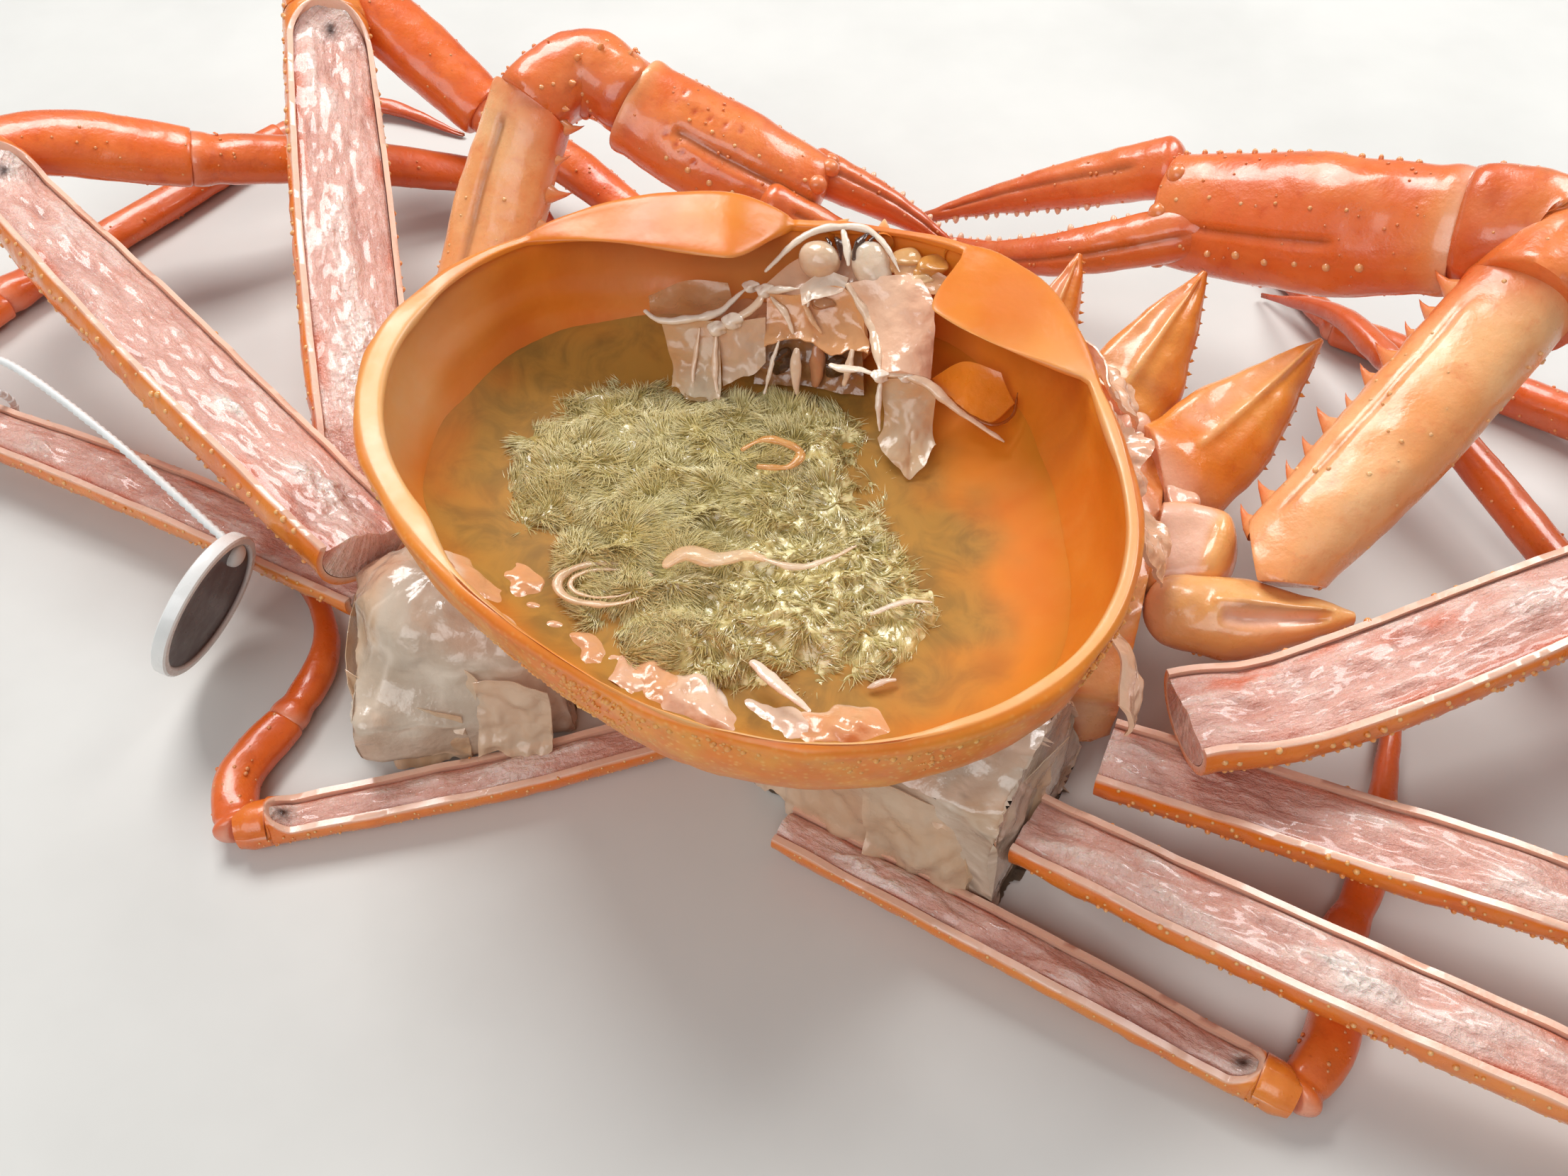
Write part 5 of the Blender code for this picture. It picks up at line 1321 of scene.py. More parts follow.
# Each claw is such a chain too, with the widths and heights of its arm, wrist and palm, and the paths of its
# two fingers. Sides are in degrees round a limb, 0 on its right and 90 on top.
CLAWS = {
    "claw_right": {
        "chain": ((101, 16, 29), (122, 33, 43), (149, 58, 59), (159, 69, 63), (144, 78, 61), (122, 94, 51),
                  (93, 115, 40)),
        "sizes": (((18, 22, 22), (15, 18, 18)), ((23, 27, 24), (23, 27, 26)),
                  ((17, 21, 16), (24, 30, 25))),
        "fixed": ((101, 104, 43), (65, 115, 26), (41, 142, 11)), "fixed_size": ((11, 9, 2), (14, 10, 2)),
        "finger": ((99, 122, 47), (66, 136.5, 29), (39, 144.5, 15)),
        "finger_size": ((12, 9, 1.8), (15, 10, 1.8)),
        "up_arm": (0, 0.2, 1), "spines": 11, "spine_side": 172, "face_side": 180, "teeth": 6, "bite": 90,
        "collar": 70,
        "warts": ((104, 0.22, 0.94, 14, 0.7), (176, 0.36, 0.9, 6, 0.6), (222, 0.3, 0.95, 8, 0.95)),
        "arm_groove": (108, 2.2, 0.8), "hand_groove": (200, 3.2, 0.36, 0.9),
        "pores": (),
        "butts": (((100.65, 11.4, 29), (-0.1, -0.8, -0.6)), ((99.1, 20, 26.8), (-0.88, 0.1, -0.45)))},
    "claw_left": {
        "chain": ((-71, 107, 15), (-65, 125, 29), (-56, 143, 49), (-44, 152, 52), (-31, 145, 48),
                  (-9, 135, 40), (14, 127, 32)),
        "sizes": (((20, 22, 20), (15, 17, 16)), ((19, 21, 19), (18, 20, 19)),
                  ((16, 19, 15), (22, 26, 22))),
        "fixed": ((8, 121, 33), (32, 117, 22), (48, 117, 13)), "fixed_size": ((10, 8, 2), (11, 8, 2)),
        "finger": ((10, 135, 38), (33, 130, 28.5), (50.5, 122.5, 19.5)),
        "finger_size": ((10, 8, 1.8), (12, 8, 1.8)),
        "up_arm": (0, -0.3, 1), "spines": 7, "spine_side": 0, "face_side": 0, "teeth": 4, "bite": 270,
        "collar": 60,
        "warts": ((88, 0.2, 0.94, 13, 0.65), (4, 0.36, 0.9, 6, 0.6), (318, 0.35, 0.85, 6, 0.8)),
        "arm_groove": (100, 6, 1.2), "hand_groove": (350, 7, 0.3, 1.4),
        "pores": ((0.36, 14), (0.43, 16), (0.5, 18), (0.57, 20), (0.3, 342), (0.36, 338), (0.4, 334),
                  (0.46, 330), (0.28, 30)),
        "butts": (((-73, 101, 12), (-0.2, -0.8, -0.5)),)},
}
UP_HAND = (0, 0.78, 0.62)

# Cut leg bases: root, middle, tip, width and the direction they leave the body in
LEG_BASES = (((84, 44, 20), (101, 57, 25), (124, 78, 32), 25, (0.99, 0.1, 0)),
             ((77, 64, 20), (87, 76, 30), (99, 91.5, 40), 22, (0.8, 0.6, 0)),
             ((62, 78, 21), (66, 86, 30), (72, 98, 40), 15, (0.35, 0.93, 0)))
CLAW_ROOT = ((78, 20, 0), (0.95, -0.3, 0))


# The body, the cut leg bases and the claw bases
def under_bowl(verts):
    """Press flesh down under the bowl where the bowl lies over it."""
    verts = verts.copy()
    off = verts[..., :2] - BOWL_AT
    turn = np.arctan2(off[..., 0], off[..., 1]) - BOWL_TURN
    share = np.clip(np.hypot(off[..., 0], off[..., 1]) / (rim_radius(turn) + 2.5), 0, 1)
    angle = np.arcsin(share ** (BOWL_FULLNESS / 2))
    roof = BOWL_RIM - 1.5 - (BOWL_DEPTH + 0.3) * np.cos(angle) ** (2 / BOWL_FULLNESS)
    verts[..., 2] = np.minimum(verts[..., 2], roof)
    return verts


def flesh_tint(grid, seed):
    """Masks of clear flesh: soft pink, few white folds, some yellow and few dark stains."""
    folds = ridged(grid, 11, seed, 2)
    return masks(0.35 * smooth(0.1, 0.8, noise(grid, 15, seed + 1, 2)), 0.45 * smooth(0.7, 1.0, folds),
                 0.3 * smooth(0.2, 0.8, noise(grid, 13, seed + 2, 2)),
                 0.4 * smooth(0.78, 0.98, noise(grid, 5, seed + 3, 2)))


def wrinkled(grid, seed, depth):
    """Soft folds and a few small lumps over a grid of flesh."""
    folds = ridged(grid, 13, seed, 2)
    push = depth * (folds - 0.5) + 0.35 * depth * noise(grid, 4, seed + 5, 2)
    return grid + normals_of(grid) * push[..., None]


# Skins over the flesh at the sides: two edges, ruffle, tear, bulge and masks
DRAPES = (
    (((-78.4, 17, 24), (-79, 6, 23), (-78, -6, 20)), ((-79.6, 16, 3), (-80.2, 5, 2), (-79.2, -8, 3)),
     1.3, 3, 0.6, (0.05, 0.2, 0, 0.05)),
    (((-78.2, -4, 22), (-68, -9.6, 20), (-56, -11.6, 17)),
     ((-79, -8.6, 2.5), (-68, -12.3, 2), (-56, -12.8, 2)),
     1.3, 3, 0.6, (0.05, 0.15, 0, 0.1)),
    (((-67, 4, 30), (-60, -3, 28), (-52, -8, 24)), ((-72, -2, 21), (-66, -8.6, 17), (-56, -12.3, 13)),
     1.5, 4, 1.0, (0.1, 0.5, 0.1, 0)),
    (((-53, -8.5, 24), (-46, -9, 25), (-39, -10, 23)), ((-54, -13, 5), (-47, -14, 3), (-40, -14, 6)),
     1.5, 4, 1.5, (0.15, 0.45, 0.3, 0)),
    (((-2, -12, 26), (8, -22, 26), (20, -29.6, 26)), ((-2, -14, 5), (7, -25, 4), (20, -33, 3)),
     1.5, 4, 1.0, (0.2, 0.4, 0.35, 0)),
    (((18, -29, 27), (28, -34.5, 26), (38, -37.5, 24)), ((20, -34, 4), (30, -39.5, 3), (38, -42.5, 2)),
     1.5, 4, 1.0, (0.15, 0.35, 0.2, 0.05)),
    (((37, -36.6, 25), (46, -31.6, 26), (56, -22, 27)), ((38.5, -42.5, 3), (46, -36.5, 4), (54, -27, 12)),
     1.5, 4, 1.0, (0.1, 0.2, 0, 0.1)),
    (((24, -24, 31), (36, -26, 32), (50, -20, 32)), ((26, -33, 22), (37, -37, 19), (50, -28.6, 21)),
     1.4, 4, 1.2, (0.35, 0.45, 0.1, 0)),
)


def make_body():
    """The body under the bowl and its clear flesh at both sides, with the skins that hang over it."""
    roots = {}
    for name, row in LEGS.items():
        root, way = np.array(row["paths"][0][0]), unit(np.subtract(*row["paths"][0][1::-1]))
        roots[name] = (root - 1.5 * GAP * way, way)
    left_split = ((-38, 10, 0), (1, 0.1, 0))
    right_split = ((30, -9, 0), (0, 1, 0))
    ceiling = ((0, 0, BOWL_RIM - BOWL_DEPTH), (0, 0, 1))
    sockets = [(root, outward) for root, _, _, _, outward in LEG_BASES]
    limits = sockets + [ceiling, behind(left_split), behind(right_split), roots["leg_left_4"],
                        CLAW_ROOT, ((-26, 62, 0), (-0.85, 0.5, 0))]
    grid = wrinkled(lump((22, 36, 12), (79, 57, 18), 3, 0.03, 100, 50), 90, 1.0)
    piece("thorax_shell", [loft(pressed(grid, limits), flesh_tint(grid, 91))], FINISH["body"],
          ("thorax",))

    limits = [left_split, roots["leg_left_2"], roots["leg_left_3"], ((-50, -11.3, 0), (0.2, -0.98, 0)),
              ((-78.5, 8, 0), (-0.98, -0.1, 0))]
    grid = flesh_block((-60, 11, 12), (29, 26, 19), 5, 0.1, math.radians(20), limits, 95)
    tint = flesh_tint(grid, 96)
    spot = np.array((-70.5, 3.5, 22))
    tint[..., 3] = np.maximum(tint[..., 3] * 0.4, np.exp(-((grid - spot) ** 2).sum(-1) / 7))
    piece("flesh_left_skin", [loft(grid, tint)], FINISH["flesh"], ("flesh_left",))

    limits = [right_split, roots["leg_right_2"], roots["leg_right_3"], ((8, -22, 0), (-0.53, -0.848, 0))]
    grid = flesh_block((34, -24, 13), (40, 21, 20), 8, 0.1, math.radians(-10), limits, 99)
    piece("flesh_right_skin", [loft(grid, flesh_tint(grid, 98))], FINISH["flesh"],
          ("flesh_right",))
    piece("flesh_drapes", sheets(DRAPES, 36, 26, 0.35, 190), FINISH["skin"])


# The cut leg bases: ridges as angle and height, with painted highlights along them, and all raised and sunk
# lines as for a groove
RIDGE_HIGHLIGHTS = ((98, 0.7), (150, 0.25))
BLADE_LINES = ((98, 8, 0.25, 0.97, -0.7), (150, 8, 0.25, 0.97, -0.25), (80, 9, 0.3, 0.95, 0.25),
               (125, 18, 0.3, 0.9, 0.7))


def make_leg_bases():
    """Three cut leg bases on the right of the body: broad at the joint, drawn out to a sharp cut point."""
    for number, (root, middle, tip, wide, outward) in enumerate(LEG_BASES, 1):
        limits = [behind((root, outward))]
        path = longer(np.array((root, middle, tip), float), 5, 0)
        size = (wide * 0.78, wide * 0.98, wide * 0.6, 1.2), (13, 12.5, 8.5, 1.2)
        skin = (path, *size, (0, -0.45, 1))

        def carve(at, angle):
            """Sharp ridges that run to the point, hollows between them and a swollen root."""
            push = 0.6 * bell(at - 0.2, 0.05) - 0.6 * bell(at - 0.3, 0.06)
            for degrees, width, first, last, depth in BLADE_LINES:
                push = push + groove(at, angle, degrees, width, first, last, depth)
            return push

        def paint(at, angle):
            """Painted highlights along the ridges and in the hollow panel, red point and a pale wet root."""
            # Painted highlights: pale lines along the ridges and a pale hollow panel.
            line = -sum(0.6 * height * groove(at, angle, degrees, 5, 0.25, 0.97, 1) for degrees,
                        height in RIDGE_HIGHLIGHTS)
            panel_highlight = -0.28 * groove(at, angle, 125, 24, 0.3, 0.9, 1)
            root_pale = 0.55 * smooth(0.24, 0.1, at)
            deep = 0.3 * smooth(0.6, 1, at) + 0.25 * smooth(0.2, 1.0, np.cos(angle)) * smooth(0.2, 0.35, at)
            return masks(root_pale + panel_highlight, deep, line)

        blade = limb(*skin, 80, 96, 1.8, (0.6, 0.3), carve, paint, (0.35, 6), limits, 210 + number)
        chance = np.random.default_rng(220 + number)
        at = np.linspace(0.45, 0.95, 9)
        saw = row_of_warts(skin, at, chance.uniform(-5, 5, 9), 0.6, chance.uniform(0.5, 1.1, 9), limits,
                           SPINE,
                           0.4, (0, 0.3, 0, 0))
        knobs = []
        for off in ((1.5, -wide * 0.28, 3), (2, wide * 0.26, 4)):
            middle = root + np.array(outward) * 2.5 + np.array(off)
            knob = wrinkled(lump(middle, (4.2, 4.6, 3.6), 230 + number, 0.12, 30, 20), 231, 0.5)
            knobs.append(loft(knob, (0.75, 0.1, 0.1, 0)))
        piece(f"leg_base_right_{number}_shell", [blade, saw] + knobs, FINISH["base"],
              (f"leg_base_right_{number}",))


def make_claw_bases():
    """The short joints that carry the claws."""
    limits = [behind(CLAW_ROOT)]
    chance = np.random.default_rng(240)
    block_skin = (((74, 24, 20), (86, 24, 23), (95, 20, 25)), (18, 20, 16), (15, 17, 14), (0, -0.3, 1))
    long_skin = (((76, 12, 21), (94, 6.5, 24), (114, 4.5, 27)), (13, 15.5, 2), (12, 14, 3), (0, -0.3, 1))

    def block_carve(at, angle):
        """A hollow face."""
        return groove(at, angle, 90, 26, 0.2, 0.85, 1.1)

    def long_carve(at, angle):
        """An opening with a ridge beside it."""
        return groove(at, angle, 70, 12, 0.35, 0.88, 1.3) - groove(at, angle, 95, 8, 0.3, 0.9, 0.7)

    def block_paint(at, angle):
        """A pale pink face in a yellow rim."""
        face = smooth(0.3, 0.85, np.sin(angle)) * smooth(0.25, 0.4, at) * smooth(0.85, 0.7, at)
        return masks(0.8 * face + 0.4 * smooth(0.2, 0.05, at), 0, 0.4 * (1 - face))

    def long_paint(at, angle):
        """Yellow with a pale opening above an orange band."""
        opening = -groove(at, angle, 70, 16, 0.35, 0.85, 1)
        band = smooth(0.3, -0.4, np.sin(angle)) * 0.6
        return masks(0.75 * opening + 0.3 * smooth(0.2, 0.05, at), band, 0.45 * (1 - band) * (1 - opening),
                     -0.5 * groove(at, angle, 92, 5, 0.4, 0.9, 1))

    parts = [limb(*block_skin, 72, 60, 2.6, (0.6, 0.6), block_carve, block_paint, (0.5, 6), limits, 241),
             limb(*long_skin, 72, 80, 2.0, (0.8, 0.4), long_carve, long_paint, (0.5, 6), limits, 242)]
    for skin, degrees in ((block_skin, (200, 340)), (long_skin, (200, 350))):
        parts.append(row_of_warts(skin, *scattered(chance, 60, (0.1, 0.9), degrees),
                                  chance.uniform(0.3, 0.55, 60), 0.35, limits, tint=(0, 0, 0.5, 0)))
    piece("claw_right_base_shell", parts, FINISH["base"], ("claw_right_base",))
    limits = [((-26, 62, 0), (0.85, -0.5, 0)), ((-73, 101, 12), (0.2, 0.8, 0.5))]
    skin = (((-22, 60, 13), (-54, 78, 13), (-74, 106, 14)), (22, 20, 18), (18, 17, 15), (0, 0, 1))
    parts = [limb(*skin, 60, 60, 2.3, (0.6, 0.6), lumps=(0.6, 7), planes=limits, seed=243)]
    piece("claw_left_base_shell", parts, FINISH["leg"], ("claw_left_base",))


# The mouth: masks by name, cords with their width, tint and flatness, knots, skins, drops and eyes
MOUTH_TINTS = {"pink": (0.5, 0.35, 0, 0), "white": (0, 0.95, 0, 0), "yellow": (0.25, 0.1, 0.6, 0),
               "brown": (0.1, 0, 0.5, 0.25), "painted_shade": (0.1, 0, 0.6, 0.6), "smoke": (0, 0.15, 0, 0.12),
               "beige": (0.15, 0.45, 0.3, 0), "red": (0.9, 0, 0.1, 0.35)}
STRUTS = (
    (((1.3, 61.2, 64), (4.7, 64, 66), (8.2, 66.2, 68), (12.3, 67.6, 69.3), (17.8, 68.2, 69.6),
      (21.9, 66.6, 69.6),
      (25.2, 62.3, 68.6), (27.5, 58.6, 66)), 1.9, "white", 0.8),
    (((16.5, 67.6, 69.4), (17.2, 64.5, 68.2), (17.6, 60.5, 66)), 1.6, "white", 0.7),
    (((-22.5, 57.5, 57.6), (-20.5, 55.6, 57.3), (-18.1, 54.8, 57.3), (-12.6, 54.7, 57.8),
      (-7.7, 56.2, 58.3),
      (-4, 59.5, 59.6), (-1.5, 61.8, 60.3)), 2.0, "white", 0.8),
    (((1.3, 59.6, 60.8), (-0.8, 55.4, 60), (-4.9, 53.6, 58.3), (-8.1, 52.8, 56.3)), 1.9, "beige", 0.8),
    (((1.3, 59, 61), (4, 58.3, 62), (8.2, 57.3, 63.2)), 1.8, "white", 0.8),
    (((9.9, 57, 62.8), (9.8, 55.6, 61.8), (9.7, 54.6, 60.8)), 1.0, "white", 1),
    (((17.3, 58.3, 63.6), (19.5, 55.5, 61.2), (21.9, 52.6, 58.9), (23, 45.6, 57.3), (23.5, 39.7, 56.3)),
     2.2, "beige", 0.8),
    (((13.6, 42.4, 57), (16, 41.3, 57), (19.5, 41.2, 56.7), (23.3, 40.2, 56.3)), 2.6, "white", 0.5),
    (((22, 41, 56), (25.5, 40.4, 56.3), (28.2, 40.3, 56.1), (32.3, 38.7, 55.2), (38.3, 34.8, 52.2),
      (46.9, 29.6, 49)),
     2.4, "beige", 0.7),
    (((23.5, 39.5, 56), (23.1, 36.5, 52), (23.4, 33.5, 48)), 1.2, "white", 0.7),
    (((-8.2, 52.8, 56), (-8.6, 48, 50), (-7.8, 43.8, 45.9)), 1.3, "beige", 0.6),
    (((-11.5, 53.5, 56.5), (-12.8, 49, 50), (-13, 45, 45.8)), 1.0, "beige", 0.6),
    (((4.1, 51, 55.4), (2.5, 48, 51), (1.2, 45.4, 46.5)), 1.0, "white", 1),
    (((7.5, 50, 54.5), (7.4, 47.7, 50), (7.8, 45.3, 46.3)), 2.4, "beige", 0.6),
    (((11.6, 51, 54.6), (11.6, 49.3, 50), (11.2, 47.5, 46.3)), 3.4, "red", 0.6),
    (((18.5, 49, 55), (17.6, 46.5, 52), (16.8, 45, 49)), 1.8, "beige", 0.6),
    (((2.5, 57.6, 61), (5.5, 54.5, 58.8), (7, 51.5, 56.5)), 1.6, "beige", 0.7),
    (((9, 56, 60.4), (10.5, 53.6, 58.6), (12.5, 51.6, 56.6)), 1.6, "yellow", 0.7),
    (((27.8, 58, 64.8), (29.5, 52.5, 61), (31, 46, 57.8)), 1.3, "pink", 0.6),
)
MOUTH_KNOTS = ((1.3, 59.4, 61), (-1.5, 61.6, 60.2), (-5, 53.6, 58.2), (23.4, 40, 56.2), (28.2, 40, 56),
               (-8, 53.4, 56.6))
MOUTH_SKINS = (
    (((1.3, 61, 61), (8.2, 66, 63.6), (17.6, 67.8, 64), (26.5, 60, 63)),
     ((4, 58, 59.4), (8.2, 57, 60), (13, 59, 60.4), (17.4, 58.2, 60.8)), 0.6, 0.6, 0.4, "pink"),
    (((8.2, 57.6, 63.4), (13, 60.4, 64.8), (17.6, 59, 64.4)),
     ((8.6, 54.6, 61.4), (12.6, 55.6, 62.2), (16.4, 56.6, 62.6)),
     0.6, 1.2, 0.8, "white"),
    (((-21.8, 61, 58.4), (-14, 64, 59.8), (-6, 62.4, 60.4)),
     ((-21.5, 56.4, 57), (-13, 54.9, 57.4), (-5, 58.6, 59.2)),
     0.5, 0.3, 1.2, "brown"),
    (((-19, 54.8, 57), (-13, 54.5, 57.4), (-7.6, 54.6, 57.4)),
     ((-17, 47.5, 45.8), (-12, 44, 45.4), (-7.4, 43.2, 45.8)),
     1.1, 2.0, 1.4, "smoke"),
    (((-8, 53.4, 56.4), (-4, 53.6, 58), (1.5, 54.5, 58.4)),
     ((-7, 47.5, 46.4), (-3, 47.5, 48), (1.5, 49.5, 51)),
     0.9, 1.6, 1.0, "beige"),
    (((23.6, 39.8, 55.6), (28.2, 39.8, 55.8), (34, 38, 54.6)),
     ((23.2, 33, 46.4), (28.5, 25.5, 45.2), (34.5, 29.5, 46)),
     1.0, 2.0, 2.2, "smoke"),
    (((25.5, 61, 67.6), (31, 61.5, 66), (37, 59, 64.5)),
     ((27.5, 57, 64.6), (31, 56, 63.6), (36, 55.5, 63)),
     0.8, 0.6, 0.8, "yellow"),
)
MOUTH_FLESH = (
    (((1.6, 59, 60.6), (8.2, 56.8, 62), (13, 58.4, 62.8), (17.3, 57.6, 62.6), (21, 53.4, 59)),
     ((1.3, 50.2, 54.6), (6, 50.8, 54.4), (11.6, 50, 54.2), (16.5, 49.4, 54.2), (21.4, 47.6, 55.4)), 0.8,
     2.2, 1.6, "yellow"),
    (((17.6, 58.6, 63.4), (21, 54.5, 60.2), (23, 47, 57.4), (23.6, 40.6, 56)),
     ((31.5, 59, 64.6), (34, 53.7, 62.6), (33.8, 46.5, 58), (33, 40.4, 55)), 0.7, 0.3, 1.8, "pink"),
    # A dark sheet under the arches, painted shade of the hollows there.
    (((0, 54.5, 53.6), (10, 53.5, 53.6), (20.5, 51, 53.4)),
     ((-1, 49.6, 45.6), (10, 48.6, 45.6), (21, 46, 45.6)),
     0.6, 0.6, 0.6, "painted_shade"),
)
MOUTH_BLOBS = (
    ((28.4, 62.6, 65.6), (3.4, 2.4, 1.5), (0, 0.1, 0.7, 0)),
    ((33.6, 61.6, 64.8), (3.6, 2.6, 1.5), (0, 0, 0.9, 0)),
    ((31, 58.8, 64), (3.2, 1.9, 1.2), (0, 0.25, 0.5, 0)),
    ((12.7, 56, 60.6), (2.2, 1.5, 0.8), (0.8, 0, 0, 0.45)),
    # The next two drops, nearly black, are painted shade of the hollows under the arch.
    ((4.6, 50.4, 50.6), (2.4, 1.4, 2.6), (0, 0, 0.2, 0.95)),
    ((15.2, 48.6, 50.6), (2.2, 1.4, 2.4), (0, 0, 0.2, 0.95)),
    ((-12, 46.5, 45.8), (3.2, 2.6, 1.0), (0, 0, 0.4, 0.55)),
)
EYES = (
    ("eye_left", ((10.5, 60, 63.6), (12.2, 63.4, 65.8), (13.6, 66, 67.2)), (5.4, 8.4, 6),
     ((15.2, 66.4, 68.4), (15.9, 64.4, 68.2), (16.1, 61.4, 66.6))),
    ("eye_right", ((24.4, 57.4, 62.6), (21.9, 61.9, 65.8), (21.6, 65.8, 67.6)), (4.6, 7.6, 5.4),
     ((21.8, 66.4, 69.7), (19.6, 64, 68.8), (18.7, 61, 67))),
)


def sheets(table, rows, columns, thick, seed):
    """Thin skins from a table of two edges, ruffle, tear, bulge and masks, which may be a name."""
    return [skin_sheet(near, far, rows, columns, thick, ruffle, ragged, seed + number, bulge,
                       MOUTH_TINTS.get(tint, tint))
            for number, (near, far, ruffle, ragged, bulge, tint) in enumerate(table)]


def make_mouth():
    """Clear arches, struts and torn skins inside the front of the bowl, and the two eyes among them."""
    # The bed is tinted darker amber and dark as painted shade of the hollows under the arches.
    bed = wrinkled(lump((8, 60.5, 49.5), (18, 5, 5), 11, 0.1, 90, 40, -BOWL_TURN), 120, 1.3)
    parts = [loft(bed, masks(0.5, 0.1, 0.4, 0.1))]
    for number, (path, width, colour, flat) in enumerate(STRUTS):
        parts.append(strand(path, width, 14, 40, 130 + number, MOUTH_TINTS[colour], flat))
    for spot in MOUTH_KNOTS:
        knot = wrinkled(lump(spot, (1.7, 1.4, 1.1), 137, 0.2, 24, 16), 138, 0.4)
        parts.append(loft(knot, MOUTH_TINTS["white"]))
    piece("mouth_arches", parts, FINISH["strut"], ("mouth_skins",))

    piece("mouth_membranes", sheets(MOUTH_SKINS, 44, 32, 0.3, 140), FINISH["skin"])
    piece("mouth_flesh", sheets(MOUTH_FLESH, 44, 32, 0.8, 160), FINISH["peach"])
    plate = skin_sheet(((33.5, 41.5, 54.3), (40, 46, 54.5), (47, 43.5, 54)),
                       ((38.2, 37.6, 50.8), (44, 33.4, 50.4), (49.3, 37.5, 51.6)), 40, 30, 0.7, 0.2, 0,
                       159, 1.0)
    edge = strand(((33.6, 40.6, 54.2), (38.7, 37, 50.9), (44.3, 32.7, 50.6), (48.6, 34.6, 51),
                   (50, 39.5, 52.5)), 0.9,
                  8, 40, 158, (0, 0, 0, 0.8), 0.7)
    piece("mouth_plate", [plate, edge], FINISH["amber"])

    blobs = [loft(lump(middle, size, 150 + number, 0.14, 30, 20, 0.4, 0.3), tint)
             for number, (middle, size, tint) in enumerate(MOUTH_BLOBS)]
    piece("mouth_blobs", blobs, FINISH["amber_clear"])

    for name, path, wide, band in EYES:
        dome = limb(path, wide, tuple(w * 0.8 for w in wide), (0, 0, 1), 40, 36, 2.1, (0.9, 0.9), None,
                    lambda at, angle: masks(0.1, 0.25 * smooth(0.6, 1.0, at)), (0.2, 4))
        bands = [strand(np.asarray(band) + np.array((step, 0, 0)), width, 10, 30, 145, (0, 0, 0, 1), 0.5)
                 for step, width in ((0, 1.7), (-1.9 if name == "eye_left" else 1.9, 1.0))]
        piece(name + "_stalk", [dome] + bands, FINISH["eye"], (name,))


def flesh_block(middle, size, seed, rough, turned, limits, folds):
    """A soft block of clear flesh, pressed behind planes and uneven all the same."""
    grid = wrinkled(lump(middle, size, seed, rough, 130, 66, turned), folds, 0.9)
    grid = under_bowl(pressed(grid, limits))
    sag = 0.9 + 0.9 * noise(grid, 9, folds + 1, 2) + 0.45 * noise(grid, 3.2, folds + 2, 2)
    return grid - normals_of(grid) * np.clip(sag, 0, 1.3)[..., None]


def wall_patch(middle, level, half, thick, seed, tint):
    """A torn flap of flesh that lies on the bowl's inner wall, and on the broth where it reaches lower."""
    a = full_turn(84)
    share = np.linspace(0.03, 1, 20)[:, None]
    ring = np.stack([3 * np.cos(a), 3 * np.sin(a), seed + 0 * a], -1)
    rag = 1 + 0.3 * noise(ring, 2.6, seed, 3)
    off = np.asarray(middle, float) - BOWL_AT
    turn = math.atan2(off[0], off[1]) - BOWL_TURN + half[0] * share * np.cos(a) * rag / np.linalg.norm(off)
    up = level + half[1] * share * np.sin(a) * rag
    flat = np.stack([turn * 50, up, 0 * up], -1)
    thin = 1 - share ** 3
    depth = thick * thin * (0.75 + 0.5 * noise(flat, 4, seed + 1, 2)) + 0.25
    depth = depth + 0.35 * noise(flat, 6, seed + 2)
    height = BROTH_LEVEL + np.maximum(up, 0.1 - 0.1 * share)
    foot = bowl_place(turn, wall_radius_at(turn, height, BOWL_WALL) + np.minimum(up, 0), height)
    way = bowl_place(turn, -1.0 * smooth(-1, 2, up), 0.8 + 0 * up) - bowl_place(turn, 0 * up, 0 * up)
    top = foot + unit(way) * depth[..., None]
    frayed = smooth(0.75, 0.98, share) * smooth(-0.2, 0.5, noise(flat, 5, seed + 3))
    colour = masks(tint[0], tint[1] + 0.5 * frayed, *tint[2:])
    return loft(np.concatenate([foot, top[::-1]]), np.concatenate([colour, colour[::-1]]))


# Threads of flesh with their width, masks and flatness, afloat or over the insides
WET = BROTH_LEVEL + 0.35
CLEAR = (0.05, 0.3, 0.1, 0)
PEACH = (0.5, 0.1, 0.45, 0)
THREADS = (
    (((-55.5, 45, WET), (-46, 54, WET + 0.2), (-36, 59.2, WET + 0.5), (-27, 61, WET + 0.6)), 1.0,
     (0, 1, 0, 0), 1),
    (((-58, 37, WET), (-53, 40, WET + 0.5), (-48, 41, WET + 0.3), (-44, 44, WET + 0.3)), 1.3,
     (0.4, 0.7, 0, 0), 0.6),
    (((-57, 36.4, WET), (-54, 38, WET + 0.3), (-51, 38.6, WET)), 0.8, (0.4, 0.7, 0, 0), 0.6),
    (((41, 19, WET), (43, 16.5, WET + 0.2), (45, 15.6, WET)), 0.6, (0, 0.8, 0, 0), 1),
    (((20, -9.5, 46.5), (26, -7.5, 47.5), (31, -6.8, 46.5)), 1.3, (0, 1, 0, 0), 0.6),
    (((19, -23.5, 44.5), (21.5, -22.8, 45.2), (24, -22, 44.8)), 1.4, (0, 1, 0, 0), 0.6),
    (((-16.3, -0.6, 48.5), (-12, 1.5, 49.6), (-7, 0.2, 49.6), (-2, 1.6, 49.2), (2, 1, 48.6)), 4.4, CLEAR,
     0.5),
    (((0, 1.5, 49), (7, -1, 49), (13, 0.5, 49.5), (18, 4, 49)), 1.5, (0, 0.6, 0.2, 0), 0.6),
    (((-3, 26.5, 50), (2, 28.5, 51), (8, 26, 50.4), (6, 22.5, 49.8), (0, 22.6, 49.6)), 2.2, (0, 0, 0.9, 0),
     0.6),
)
